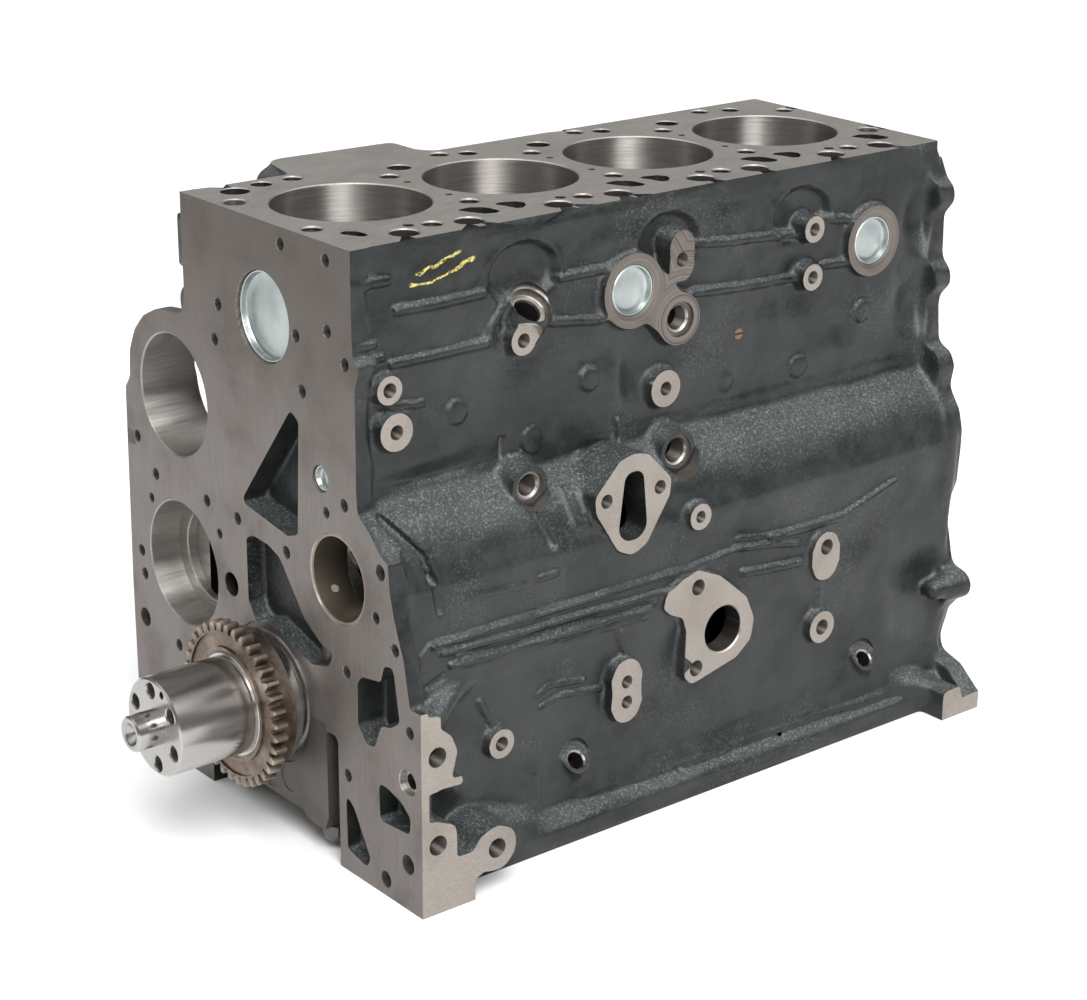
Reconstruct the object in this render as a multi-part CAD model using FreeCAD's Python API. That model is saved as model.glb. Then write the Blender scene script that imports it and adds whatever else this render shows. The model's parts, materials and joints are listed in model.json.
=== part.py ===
import FreeCAD, Part
import os
import math
from FreeCAD import Vector as V

# In-line four-cylinder diesel crankcase with its crankshaft, main bearings,
# caps, cam bushes and core plugs.
# Drawn from the crank axis in the plane of the machined front face: +X along
# the crank into the block, +Y to the exhaust side, +Z up.  Millimetres.
# The finished pieces are moved together by OFFSET, so that the assembly stands
# on Z = 0 with the middle of its outer box over the origin.

# ---------------------------------------------------------------- dimensions
OFFSET = V(-225.0, -4.85, 100.0)
PITCH = 125.0            # bore to bore
BORE_R = 54.0            # cylinder bore radius (108 mm bore)
BORE_X0 = 74.4           # first cylinder axis behind the front face
NCYL = 4
BORE_Z0 = 104.0          # lower end of the bores, above the swing of the webs
THROW = 60.0             # crank throw (120 mm stroke)
DECK_Z = 333.0           # crank axis to deck
BOT_Z = -100.0           # crank axis to sump rail
DECK_YN = -104.6         # deck edge, camshaft side
DECK_YF = 92.0           # deck edge, far side
DECK_X1 = 526.0          # rear edge of the deck
REAR_X = 532.0           # machined rear face
PAD_Y = -174.3           # side mounting pads on the front and rear feet
BOSS_Y = -146.0          # machined bosses on the lower side wall
UP_Y = -112.0            # machined bosses on the upper side wall
RAIL_Y = 152.0           # sump rail half width
CAM_Y, CAM_Z = -84.2, 109.6
CAM_HOUSE_R = 30.5
CAM_BORE_R = 28.9
IDLER_Y, IDLER_Z, IDLER_R = 110.1, 60.5, 45.6
PUMP_Y, PUMP_Z, PUMP_R = 113.6, 185.0, 43.7
FPLUG_Y, FPLUG_Z, FPLUG_R = -4.0, 268.0, 31.0
GPLUG_Y, GPLUG_Z, GPLUG_R = -66.9, 174.2, 9.0
HEAD_X, HEAD_Y = 13.0, 45.3        # first column of head bolts, half spacing
HEAD_DX, HEAD_YO = 7.2, 80.3       # outer head bolts, behind each cylinder axis
HEAD_R = 6.9
DOWELS = [(13.0, 45.3), (513.0, -45.3)]
CPLUG_R = 18.0
CPLUG1_X, CPLUG1_Z = 226.0, 271.0
CPLUG2_X, CPLUG2_Z = 455.0, 270.0

MAIN_HOUSE_R = 44.5      # main bearing housing bore
SHELL_IN_R = 41.54       # shell bore: 0.04 mm running clearance
MAIN_R = 41.5            # main journals
PIN_R = 35.0             # crankpins
CAP_Y = 67.0             # main cap half width
CAP_Z = -81.0            # underside of the caps
LEG_Y = 80.5             # inner face of the front legs
BOLT_Y = 56.0            # main cap bolt offset
BOLT_R = 7.0
NOSE_R = 34.3            # crank nose
NOSE_X = -92.6           # bolting face of the nose
STUB_R, STUB_X = 12.5, -111.0
GEAR_Z, GEAR_M = 37, 3.0  # crank gear
GEAR_X0, GEAR_X1 = -34.0, -24.0
GEAR_SEAT_R = 36.5
REAR_FLANGE_R = 58.0
REAR_FLANGE_X0, REAR_FLANGE_X1 = 534.0, 556.0

BORES = [BORE_X0 + PITCH * i for i in range(NCYL)]
# main bearing bulkheads: (front face, rear face)
BULK = [(0.0, 30.0), (123.9, 149.9), (244.1, 279.7), (373.9, 399.9), (502.0, 532.0)]
CAPS = [(0.0, 28.0), (123.9, 149.9), (244.1, 279.7), (373.9, 399.9), (503.0, 531.0)]
SHELL_W = [(3.0, 26.0), (125.4, 148.4), (245.6, 278.2), (375.4, 398.4), (505.0, 529.0)]
BAYS = [(30.0, 123.9), (149.9, 244.1), (279.7, 373.9), (399.9, 502.0)]

os.makedirs("parts", exist_ok=True)


# ------------------------------------------------------------------- helpers
def box(x0, x1, y0, y1, z0, z1):
    return Part.makeBox(x1 - x0, y1 - y0, z1 - z0, V(x0, y0, z0))


def cx(y, z, r, x0, x1):
    return Part.makeCylinder(r, x1 - x0, V(x0, y, z), V(1, 0, 0))


def cy(x, z, r, y0, y1):
    return Part.makeCylinder(r, y1 - y0, V(x, y0, z), V(0, 1, 0))


def cz(x, y, r, z0, z1):
    return Part.makeCylinder(r, z1 - z0, V(x, y, z0), V(0, 0, 1))


def outline(pts, put):
    """Closed face from corner points and (start, middle, end) arcs."""
    edges = []
    first = pts[0][0] if len(pts[0]) == 3 else pts[0]
    last = None
    for p in list(pts) + [first]:
        q = p[0] if len(p) == 3 else p
        if last is not None and math.hypot(q[0] - last[0], q[1] - last[1]) > 1e-5:
            edges.append(Part.LineSegment(put(last), put(q)).toShape())
        last = q
        if len(p) == 3:
            edges.append(Part.Arc(put(p[0]), put(p[1]), put(p[2])).toShape())
            last = p[2]
    return Part.Face(Part.Wire(edges))


def prism_x(pts, x0, x1):
    return outline(pts, lambda p: V(x0, p[0], p[1])).extrude(V(x1 - x0, 0, 0))


def prism_y(pts, y0, y1):
    return outline(pts, lambda p: V(p[0], y0, p[1])).extrude(V(0, y1 - y0, 0))


def prism_z(pts, z0, z1):
    return outline(pts, lambda p: V(p[0], p[1], z0)).extrude(V(0, 0, z1 - z0))


def rounded(pts, radii):
    """Round the corners of a polygon with tangent arcs."""
    out = []
    n = len(pts)
    for i in range(n):
        r = radii[i] if isinstance(radii, (list, tuple)) else radii
        p0, p1, p2 = pts[i - 1], pts[i], pts[(i + 1) % n]
        a = (p0[0] - p1[0], p0[1] - p1[1])
        b = (p2[0] - p1[0], p2[1] - p1[1])
        la, lb = math.hypot(*a), math.hypot(*b)
        a = (a[0] / la, a[1] / la)
        b = (b[0] / lb, b[1] / lb)
        dot = max(-1.0, min(1.0, a[0] * b[0] + a[1] * b[1]))
        ang = math.acos(dot)
        if r <= 0 or ang > math.radians(172):
            out.append(p1)
            continue
        t = min(r / math.tan(ang / 2.0), 0.45 * la, 0.45 * lb)
        rr = t * math.tan(ang / 2.0)
        bis = (a[0] + b[0], a[1] + b[1])
        lbis = math.hypot(*bis)
        u = (bis[0] / lbis, bis[1] / lbis)
        h = rr / math.sin(ang / 2.0)
        out.append(((p1[0] + a[0] * t, p1[1] + a[1] * t),
                    (p1[0] + u[0] * (h - rr), p1[1] + u[1] * (h - rr)),
                    (p1[0] + b[0] * t, p1[1] + b[1] * t)))
    return out


def slot_y(x, z0, z1, r, y0, y1):
    """Vertical obround standing out along Y."""
    return cy(x, z0, r, y0, y1).fuse(cy(x, z1, r, y0, y1)).fuse(
        box(x - r, x + r, y0, y1, z0, z1))


def fuse_all(shapes):
    s = shapes[0].multiFuse(shapes[1:])
    return s.removeSplitter()


def keep(name, shape):
    s = shape.copy()
    if s.ShapeType == "Compound" and len(s.Solids) == 1:
        s = s.Solids[0]
    s.translate(OFFSET)
    ok = s.isValid()
    bb = s.BoundBox
    print("%-28s solids %d valid %s vol %.1f cm3  box %.1f..%.1f %.1f..%.1f %.1f..%.1f" % (
        name, len(s.Solids), ok, s.Volume / 1000.0, bb.XMin, bb.XMax, bb.YMin, bb.YMax,
        bb.ZMin, bb.ZMax))
    s.exportStep("parts/%s.step" % name)
    return shape


# ================================================================= crankcase
# machined outline of the front face, (y, z)
FRONT = rounded([
    (DECK_YN, DECK_Z), (DECK_YN, 266.0), (-113.0, 257.0), (-108.3, 245.0),
    (-107.0, 160.0), (-125.0, 143.0), (-141.0, 138.0), (-142.0, 116.0),
    (-150.0, 94.0), (-156.6, 77.0), (-163.0, 45.0), (PAD_Y, 41.0), (PAD_Y, -8.0),
    (-168.6, -16.0), (-168.8, -29.0), (PAD_Y, -35.0), (PAD_Y, BOT_Z),
    (183.5, BOT_Z), (184.0, 20.0), (180.0, 175.0), (172.0, 185.0), (171.0, 204.0),
    (163.0, 221.0), (150.0, 234.0), (131.0, 243.0), (112.0, 245.0), (98.0, 247.0),
    (DECK_YF, 262.0), (DECK_YF, DECK_Z)],
    [0, 4, 4, 4, 6, 6, 4, 8, 8, 8, 5, 0, 0, 3, 3, 0, 0, 0, 20, 3, 3, 6, 6, 6, 6, 6, 8, 8, 0])
# rear face outline
REAR = rounded([
    (-103.0, 320.0), (-110.0, 306.0), (-117.0, 300.0), (-119.0, 290.0), (-110.0, 278.0),
    (-109.0, 246.0), (-118.0, 237.0), (-120.0, 227.0), (-112.0, 217.0), (-110.0, 209.0),
    (-111.0, 180.0), (-124.0, 175.0), (-128.0, 165.0), (-126.0, 148.0), (-136.0, 132.0),
    (-140.0, 117.0), (-140.0, 104.0), (-138.0, 76.0), (-133.0, 62.0), (-131.0, 44.0),
    (-136.0, 26.0), (-140.0, 11.0), (-153.0, 2.0), (-155.0, -9.0), (-138.0, -28.0),
    (-132.0, -52.0), (-134.0, -64.0), (-154.0, -70.0), (PAD_Y, -89.0), (PAD_Y, BOT_Z),
    (174.3, BOT_Z), (174.3, -89.0), (154.0, -70.0), (134.0, -64.0), (132.0, -52.0),
    (138.0, -28.0), (155.0, -9.0), (153.0, 2.0), (140.0, 11.0), (136.0, 26.0),
    (136.0, 76.0), (138.0, 104.0), (130.0, 140.0), (118.0, 165.0), (111.0, 180.0),
    (103.0, 209.0), (110.0, 227.0), (100.0, 246.0), (98.0, 278.0), (106.0, 295.0),
    (98.0, 310.0), (90.0, 320.0)],
    [0] + [4] * 27 + [4, 0, 0, 4] + [4] * 20)
# body between the end flanges
BODY = [
    (DECK_YN, 172.0), (-106.0, 150.0), (-141.0, 112.0), (-141.0, 36.0), (-138.0, 10.0), (-138.0, -50.0), (-143.0, -74.0),
    (-RAIL_Y, -86.0), (-RAIL_Y, BOT_Z), (RAIL_Y, BOT_Z), (RAIL_Y, -86.0), (143.0, -74.0),
    (138.0, -50.0), (138.0, 10.0), (141.0, 54.0), (139.0, 92.0), (120.0, 128.0),
    (DECK_YF, 165.0), (DECK_YF, 172.0)]

add = [
    box(0.0, DECK_X1, DECK_YN, DECK_YF, 165.0, DECK_Z),
    prism_x(BODY, 4.0, 524.0),
    cx(CAM_Y, CAM_Z, 57.0, 4.0, 520.0),
    prism_x(FRONT, 0.0, 14.0),
    prism_x(REAR, 516.0, REAR_X),
]
# far side: water housing column that carries the wide part of the deck
add.append(prism_z(rounded([(85.0, 84.0), (98.0, 138.5), (203.0, 133.5), (203.0, 104.0),
                            (216.0, 84.0)], [0, 16, 6, 8, 0]), 205.0, DECK_Z))
add.append(prism_z(rounded([(62.0, 84.0), (78.0, 126.0), (98.0, 138.5), (203.0, 133.5),
                            (203.0, 104.0), (216.0, 84.0)], [0, 18, 16, 6, 8, 0]), 205.0, 318.0))
# bosses round the pump and idler bores, inside the front flange
add.append(cx(PUMP_Y, PUMP_Z, 57.5, 0.0, 44.0))
add.append(box(0.0, 44.0, 92.0, 166.0, 120.0, PUMP_Z))
add.append(cx(IDLER_Y, IDLER_Z, 56.0, 0.0, 46.0))
# side wall ribs, camshaft side (x0, z0, x1, z1, width, y)
RIBS = [
    (2.0, 309.0, 29.0, 309.0, 4.0, -108.5), (35.0, 289.0, 103.0, 289.0, 4.0, -109.0),
    (166.0, 289.0, 209.0, 289.0, 4.0, -109.0), (283.0, 292.7, 365.0, 286.9, 4.0, -109.0),
    (364.0, 285.5, 384.0, 284.0, 4.0, -109.0), (2.0, 270.5, 17.5, 270.5, 3.6, -109.0),
    (2.0, 261.0, 23.0, 261.0, 3.6, -109.0), (30.0, 255.2, 107.0, 255.2, 4.0, -109.0),
    (158.0, 259.9, 200.0, 254.7, 4.0, -109.0), (284.0, 258.8, 385.0, 251.9, 4.0, -109.0),
    (410.0, 291.8, 436.0, 288.0, 4.0, -109.0), (410.6, 257.7, 436.0, 256.2, 4.0, -109.0),
    (21.0, 228.8, 53.4, 225.1, 4.0, -108.5),
    (32.0, 73.5, 300.0, 74.0, 6.0, -145.0), (300.0, 76.0, 362.0, 66.0, 4.0, -145.0),
    (45.0, 54.2, 235.0, 54.2, 5.4, -145.0), (333.0, 78.3, 401.0, 76.6, 4.0, -144.5),
    (400.0, 76.6, 458.0, 92.7, 4.0, -144.0), (308.0, 56.7, 365.0, 51.0, 4.0, -144.5)]
for (xa, za, xb, zb, w, y) in RIBS:
    d = w / 2.0
    add.append(prism_y([(xa, za - d), (xb, zb - d), (xb, zb + d), (xa, za + d)], y, -98.0
                       if y > -120 else -130.0))
# upper machined bosses, camshaft side (x, z, r, plane)
UP_BOSS = [(24.2, 240.4, 9.5, UP_Y), (29.1, 211.6, 12.5, UP_Y), (131.5, 253.6, 9.5, UP_Y),
           (394.3, 287.7, 9.5, UP_Y), (394.4, 252.6, 9.5, UP_Y), (256.5, 196.5, 13.0, UP_Y),
           (CPLUG1_X, CPLUG1_Z, 26.0, UP_Y), (CPLUG2_X, CPLUG2_Z, 26.0, UP_Y),
           (268.0, 244.0, 18.0, UP_Y), (127.6, 156.7, 14.5, -124.0), (258.4, 153.3, 15.5, -124.0)]
for (x, z, r, y) in UP_BOSS:
    add.append(cy(x, z, r, y, -86.0))
add.append(slot_y(268.5, 281.0, 296.0, 10.5, UP_Y, -98.0))
add.append(prism_y([(232.0, 247.0), (270.0, 228.0), (276.0, 258.0), (246.0, 282.0)], UP_Y, -98.0))
# angled port boss beside the first cylinder wall
ang_port = Part.makeCylinder(14.0, 34.0, V(133.0, -92.0, 262.0), V(0, -0.62, 0.78))
add.append(ang_port.common(box(100.0, 170.0, UP_Y, -80.0, 240.0, 300.0)))
# lower machined bosses
FUEL = rounded([(199.4, 171.0), (212.0, 168.0), (233.5, 146.0), (232.0, 134.0), (212.0, 104.0),
                (199.4, 98.0), (186.8, 104.0), (166.8, 134.0), (165.3, 146.0), (186.8, 168.0)],
               [6, 8, 8, 8, 10, 10, 10, 8, 8, 8])
add.append(prism_y(FUEL, BOSS_Y, -112.0))
PUMPF = rounded([(261.3, 71.6), (246.0, 68.0), (231.0, 59.0), (229.0, 50.0), (236.0, 44.0),
                 (247.0, 39.0), (250.5, 28.0), (249.8, -7.3), (257.0, -14.5), (299.6, -4.7),
                 (313.3, 6.0), (315.9, 21.7), (307.8, 40.0), (281.5, 62.6)],
                [8, 4, 4, 4, 3, 3, 3, 6, 6, 8, 8, 8, 8, 8])
add.append(prism_y(PUMPF, BOSS_Y, -128.0))
add.append(slot_y(196.6, -13.5, 9.0, 12.5, BOSS_Y, -130.0))
add.append(slot_y(386.4, 46.0, 58.0, 12.5, BOSS_Y, -130.0))
add.append(cy(385.6, -4.0, 12.2, BOSS_Y, -130.0))
add.append(cy(87.1, -10.3, 10.4, BOSS_Y, -130.0))
add.append(cy(261.4, 111.2, 9.5, BOSS_Y, -126.0))
# dipstick and drain bosses, angled
for (x, z) in ((436.0, -49.0), (155.0, -49.0)):
    add.append(Part.makeCylinder(11.0, 22.0, V(x, -132.0, z - 4.0), V(0, -0.75, 0.66)))
# machined side pads on the front and rear feet, (x, z)
PAD_UP = rounded([(0.0, 41.0), (15.5, 41.0), (15.7, 32.0), (24.0, 25.0), (29.0, 13.0),
                  (24.0, -5.3), (33.0, -5.7), (33.0, -11.8), (0.0, -9.0)],
                 [0, 1, 3, 5, 6, 2, 0.5, 0.5, 0])
PAD_LO = rounded([(0.0, -33.0), (14.0, -33.5), (28.0, -40.0), (28.2, -63.6), (41.0, -63.8),
                  (48.0, -55.0), (61.0, -50.5), (76.5, -58.0), (77.0, -74.0), (66.0, -85.0),
                  (50.0, -82.0), (43.0, -85.0), (43.0, BOT_Z), (0.0, BOT_Z)],
                 [0, 8, 9, 0.5, 5, 8, 12, 12, 12, 12, 4, 3, 0, 0])
add.append(prism_y(PAD_UP, PAD_Y, -128.0))
add.append(prism_y(PAD_LO, PAD_Y, -128.0))
add.append(prism_y([(490.0, -75.0), (512.0, -75.0), (514.0, -88.0), (REAR_X, -88.0),
                    (REAR_X, BOT_Z), (490.0, BOT_Z)], PAD_Y, -128.0))
# far side feet, the same width as the front flange
add.append(box(0.0, 43.0, 128.0, 183.5, BOT_Z, -64.0))
add.append(box(490.0, REAR_X, 128.0, 174.3, BOT_Z, -78.0))

solid = fuse_all(add)

cut = []
# cylinder bores
for x in BORES:
    cut.append(cz(x, 0.0, BORE_R, BORE_Z0, DECK_Z + 5.0))
    cut.append(Part.makeCone(BORE_R, BORE_R + 1.6, 1.6, V(x, 0, DECK_Z - 1.0), V(0, 0, 1)))
# crankcase bays and cam gallery
BAY = rounded([(-134.0, BOT_Z - 5.0), (-131.0, -60.0), (-129.0, 40.0), (-129.0, 78.0),
               (-118.0, 100.0), (-88.0, 132.0), (74.0, 132.0), (112.0, 104.0), (129.0, 76.0),
               (129.0, 40.0), (131.0, -60.0), (134.0, BOT_Z - 5.0)],
              [0, 10, 10, 10, 10, 14, 18, 18, 14, 10, 10, 0])
for (a, b) in BAYS:
    cut.append(prism_x(BAY, a, b))
    cut.append(cx(CAM_Y, CAM_Z, 42.0, a, b))
# openings below the bulkheads
END_OPEN = [(-LEG_Y, BOT_Z - 5.0), (-LEG_Y, -8.0), (-77.5, -4.6), (-69.5, -4.6), (-CAP_Y, -6.5),
            (-CAP_Y, 0.0), (CAP_Y, 0.0), (CAP_Y, -6.5), (69.5, -4.6), (77.5, -4.6),
            (LEG_Y, -8.0), (LEG_Y, BOT_Z - 5.0)]
MID_OPEN = [(-124.0, BOT_Z - 5.0), (-118.0, -84.0), (-LEG_Y, -46.0), (-LEG_Y, -8.0),
            (-77.5, -4.6), (-69.5, -4.6), (-CAP_Y, -6.5), (-CAP_Y, 0.0), (CAP_Y, 0.0),
            (CAP_Y, -6.5), (69.5, -4.6), (77.5, -4.6), (LEG_Y, -8.0), (LEG_Y, -46.0),
            (118.0, -84.0), (124.0, BOT_Z - 5.0)]
cut.append(prism_x(END_OPEN, -5.0, BULK[0][1] + 1.0))
cut.append(prism_x(END_OPEN, BULK[4][0] - 1.0, REAR_X + 5.0))
for k in (1, 2, 3):
    cut.append(prism_x(MID_OPEN, BULK[k][0] - 1.0, BULK[k][1] + 1.0))
# main bearing tunnel, cam tunnel
cut.append(cx(0.0, 0.0, MAIN_HOUSE_R, -5.0, REAR_X + 5.0))
cut.append(cx(CAM_Y, CAM_Z, CAM_HOUSE_R, -5.0, REAR_X + 5.0))
# room for the gear hub and the rear seal journal
cut.append(cx(0.0, 0.0, 50.0, -5.0, 1.5))
# idler shaft bore with its inner step, pump bore with its side window
cut.append(cx(IDLER_Y, IDLER_Z, IDLER_R, -5.0, 24.0))
cut.append(cx(IDLER_Y, IDLER_Z, 34.0, 20.0, 31.0))
cut.append(cx(PUMP_Y, PUMP_Z, PUMP_R, -5.0, 46.0))
cut.append(box(20.0, 60.0, 60.0, 110.0, 168.0, 202.0))
# water jacket round the siamesed bores
jacket = box(14.0, 512.0, -76.0, 76.0, 205.0, 316.0)
jcut = [cz(x, 0.0, 61.0, 200.0, 320.0) for x in BORES]
for i in range(NCYL + 1):
    for s in (-1, 1):
        jcut.append(cz(HEAD_X + PITCH * i, HEAD_Y * s, 12.0, 200.0, 320.0))
for i in range(NCYL):
    for s in (-1, 1):
        jcut.append(cz(BORES[i] + HEAD_DX, HEAD_YO * s, 12.0, 200.0, 320.0))
    jcut.append(cz(BORES[i] + 5.5, -88.0, 13.0, 200.0, 320.0))
jacket = jacket.cut(jcut)
cut.append(jacket)

# ---- deck holes: (x, y, r, depth)
DECK = []
for s in (-1, 1):
    for i in range(NCYL + 1):
        DECK.append((HEAD_X + PITCH * i, HEAD_Y * s, HEAD_R, 95.0))
    for x in BORES:
        DECK.append((x + HEAD_DX, HEAD_YO * s, HEAD_R, 95.0))
PUSHRODS = [(54.1, -88.0), (105.3, -88.0), (179.6, -88.0), (230.9, -88.0),
            (305.4, -88.0), (356.2, -88.0), (431.0, -88.0), (482.0, -88.0)]
for (x, y) in PUSHRODS:
    DECK.append((x, y, 9.6, 190.0))
for (x, y) in ((67.0, -74.6), (192.0, -74.2), (317.6, -73.9), (443.0, -74.0)):
    DECK.append((x, y, 3.3, 40.0))
for (x, y) in ((137.5, 23.8), (262.4, 23.8), (388.0, 24.0), (138.2, -22.8), (262.6, -22.6),
               (387.4, -23.4)):
    DECK.append((x, y, 2.2, 60.0))
for (x, y, r) in ((30.0, 71.8, 10.0), (55.3, 78.6, 7.4), (159.3, 63.4, 8.6), (225.3, 71.0, 6.8),
                  (283.6, 63.5, 8.6), (350.7, 71.8, 6.8), (407.8, 63.0, 8.6), (480.0, 71.0, 6.8)):
    DECK.append((x, y, r, 40.0))
for (x, y, r, d) in DECK:
    cut.append(cz(x, y, r, DECK_Z - d, DECK_Z + 5.0))
# ring dowel counterbores
for (x, y) in DOWELS:
    cut.append(cz(x, y, 8.9, DECK_Z - 9.0, DECK_Z + 5.0))
# coolant passages: tear-drop slots in pairs along the camshaft side
def drop(x, y, s):
    """Tear-drop opening, round end towards x*s."""
    return rounded([(x - 12.0 * s, y - 1.0), (x - 2.0 * s, y - 6.4), (x + 9.0 * s, y - 6.4),
                    (x + 11.0 * s, y + 1.0), (x + 6.0 * s, y + 6.0), (x - 3.0 * s, y + 4.6)],
                   [2, 4, 5, 4, 4, 4])
for (x, y, s) in ((126.6, -70.0, -1), (154.6, -69.5, 1), (252.2, -69.7, -1), (280.8, -69.3, 1),
                  (376.6, -69.9, -1), (405.2, -70.2, 1), (495.0, -64.0, -1)):
    cut.append(prism_z(drop(x, y, s), DECK_Z - 30.0, DECK_Z + 5.0))
cut.append(prism_z(rounded([(18.5, -71.5), (27.0, -76.0), (35.5, -70.5), (27.0, -66.0)],
                           [2, 6, 2, 6]), DECK_Z - 30.0, DECK_Z + 5.0))

# ---- front face holes: (y, z, r, depth)
FRONT_HOLES = [
    (50.5, 264.5, 4.2, 22), (56.5, 238.8, 4.2, 22), (-42.7, 264.6, 4.2, 22),
    (-78.6, 275.7, 4.2, 22), (-48.3, 228.6, 4.2, 22), (-97.5, 258.5, 4.2, 22),
    (-27.5, 321.5, 4.2, 10), (-78.4, 321.5, 4.2, 10),
    (167.0, 140.9, 4.2, 22), (143.5, 118.4, 4.2, 22), (151.0, 98.4, 3.4, 22),
    (75.1, 118.0, 4.2, 22), (35.7, 116.5, 4.2, 22), (60.0, 98.1, 3.4, 22),
    (169.0, 52.4, 4.2, 22), (166.0, 35.1, 4.2, 22), (46.7, 64.6, 8.5, 22),
    (-24.3, 110.2, 4.2, 22), (-72.7, 152.7, 3.6, 20), (-93.3, 163.5, 4.2, 10),
    (-132.0, 129.6, 5.2, 10), (-126.5, 96.8, 3.8, 10), (-147.0, 81.2, 4.2, 10),
    (168.8, -0.3, 7.0, 26), (121.9, -6.7, 4.2, 22), (78.7, 0.0, 4.2, 20),
    (-91.9, 47.0, 4.2, 20), (-161.8, 28.9, 4.2, 10), (-91.0, -28.2, 4.2, 20),
    (-159.1, -7.3, 5.5, 28), (-158.0, -66.8, 6.6, 28), (-133.0, -88.0, 5.6, 24)]
for (y, z, r, d) in FRONT_HOLES:
    cut.append(cx(y, z, r, -5.0, float(d)))
cut.append(cx(-159.1, -7.3, 9.0, -5.0, 4.0))
# plug seats on the front face
cut.append(cx(FPLUG_Y, FPLUG_Z, FPLUG_R, -5.0, 12.0))
cut.append(cx(FPLUG_Y, FPLUG_Z, FPLUG_R - 5.0, 0.0, 16.0))
cut.append(cx(GPLUG_Y, GPLUG_Z, GPLUG_R, -5.0, 11.0))
# cast pockets in the front face, (y, z) and depth
POCKETS = [
    (rounded([(-104.8, 44.0), (-110.0, 50.0), (-131.0, 53.5), (-135.0, 66.0), (-145.0, 68.5),
              (-151.5, 32.0), (-141.5, 25.0), (-131.0, 22.6), (-123.0, 4.5), (-114.0, 3.0),
              (-104.5, 14.0)], 4.0), 22.0),
    (rounded([(-127.0, -19.5), (-137.0, -20.0), (-152.0, -24.0), (-162.0, -32.0), (-161.0, -44.0),
              (-128.0, -46.5)], 4.0), 16.0),
    (rounded([(-88.7, -43.0), (-98.0, -50.0), (-116.0, -80.0), (-112.0, -88.0), (-89.5, -83.5)],
             4.0), 12.0),
    (rounded([(-34.0, 212.0), (-43.5, 207.0), (-39.0, 127.0), (-27.0, 122.5), (30.0, 131.0)],
             4.0), 20.0),
    (rounded([(25.0, 106.0), (16.0, 110.0), (-2.0, 109.0), (-16.0, 104.0), (-29.0, 88.0),
              (-44.0, 69.0), (-64.0, 57.0), (-78.0, 56.5), (-72.0, 44.0), (-52.0, 38.5),
              (-25.0, 45.5), (-2.0, 52.0), (16.0, 47.0), (25.0, 60.0)], 5.0), 14.0)]
for (pts, d) in POCKETS:
    cut.append(prism_x(pts, -5.0, d))

# ---- side bosses, bores along Y: (x, z, r, face plane, depth)
SIDE_HOLES = [
    (24.2, 240.4, 4.2, UP_Y, 20), (29.1, 211.6, 4.2, UP_Y, 20), (131.5, 253.6, 4.2, UP_Y, 20),
    (268.5, 286.0, 4.2, UP_Y, 20), (394.3, 287.7, 4.0, UP_Y, 20), (394.4, 252.6, 4.0, UP_Y, 20),
    (256.5, 196.5, 4.2, UP_Y, 22), (268.0, 244.0, 8.2, UP_Y, 20),
    (127.6, 156.7, 7.2, -124.0, 24), (258.4, 153.3, 8.6, -124.0, 24),
    (175.8, 141.8, 4.2, BOSS_Y, 22), (223.0, 141.8, 4.2, BOSS_Y, 22),
    (261.4, 111.2, 3.6, BOSS_Y, 18), (261.0, 58.8, 5.2, BOSS_Y, 24), (261.0, -2.9, 5.2, BOSS_Y, 24),
    (286.2, 20.6, 17.2, BOSS_Y, 18), (196.6, 4.5, 4.0, BOSS_Y, 18), (196.8, -10.8, 4.0, BOSS_Y, 18),
    (386.8, 59.0, 5.2, BOSS_Y, 20), (385.6, -4.0, 5.2, BOSS_Y, 20), (87.1, -10.3, 4.4, BOSS_Y, 20),
    (12.8, 12.9, 6.2, PAD_Y, 28), (12.8, -50.1, 6.2, PAD_Y, 24), (61.1, -67.7, 6.2, PAD_Y, 28)]
for (x, z, r, y, d) in SIDE_HOLES:
    cut.append(cy(x, z, r, y - 5.0, y + d))
# spot faces
for (x, z, r, y, d) in ((268.0, 244.0, 12.5, UP_Y, 2.5), (127.6, 156.7, 11.0, -124.0, 2.0),
                        (258.4, 153.3, 12.0, -124.0, 2.5)):
    cut.append(cy(x, z, r, y - 5.0, y + d))
# core plug seats
for (x, z) in ((CPLUG1_X, CPLUG1_Z), (CPLUG2_X, CPLUG2_Z)):
    cut.append(cy(x, z, CPLUG_R, UP_Y - 5.0, UP_Y + 10.0))
    cut.append(cy(x, z, CPLUG_R - 3.0, UP_Y + 5.0, UP_Y + 20.0))
# slot to the cam eccentric
cut.append(prism_y(rounded([(192.5, 157.0), (206.5, 157.0), (211.0, 112.0), (187.0, 112.0)],
                           [6.5, 6.5, 11.0, 11.0]), BOSS_Y - 5.0, -108.0))
# angled port beside the first cylinder
cut.append(Part.makeCylinder(10.0, 30.0, V(133.0, -104.0, 277.0), V(0, -0.62, 0.78)))
cut.append(Part.makeCylinder(7.0, 44.0, V(133.0, -94.0, 264.4), V(0, -0.62, 0.78)))
for (x, z) in ((436.0, -49.0), (155.0, -49.0)):
    cut.append(Part.makeCylinder(6.2, 30.0, V(x, -134.0, z - 2.4), V(0, -0.75, 0.66)))
# slotted gallery screw seat
cut.append(cy(328.7, 221.4, 4.0, -112.0, -92.0))

# ---- underside: sump rail holes and main cap bolt holes
RAIL_X = [20.0, 92.0, 156.0, 220.0, 284.0, 348.0, 412.0, 476.0, 520.0]
for x in RAIL_X:
    for s in (-1, 1):
        cut.append(cz(x, 141.5 * s, 4.0, BOT_Z - 5.0, BOT_Z + 20.0))
CAPX = [(a + b) / 2.0 for (a, b) in CAPS]
for x in CAPX:
    for s in (-1, 1):
        cut.append(cz(x, BOLT_Y * s, BOLT_R, -5.0, 62.0))
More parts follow.
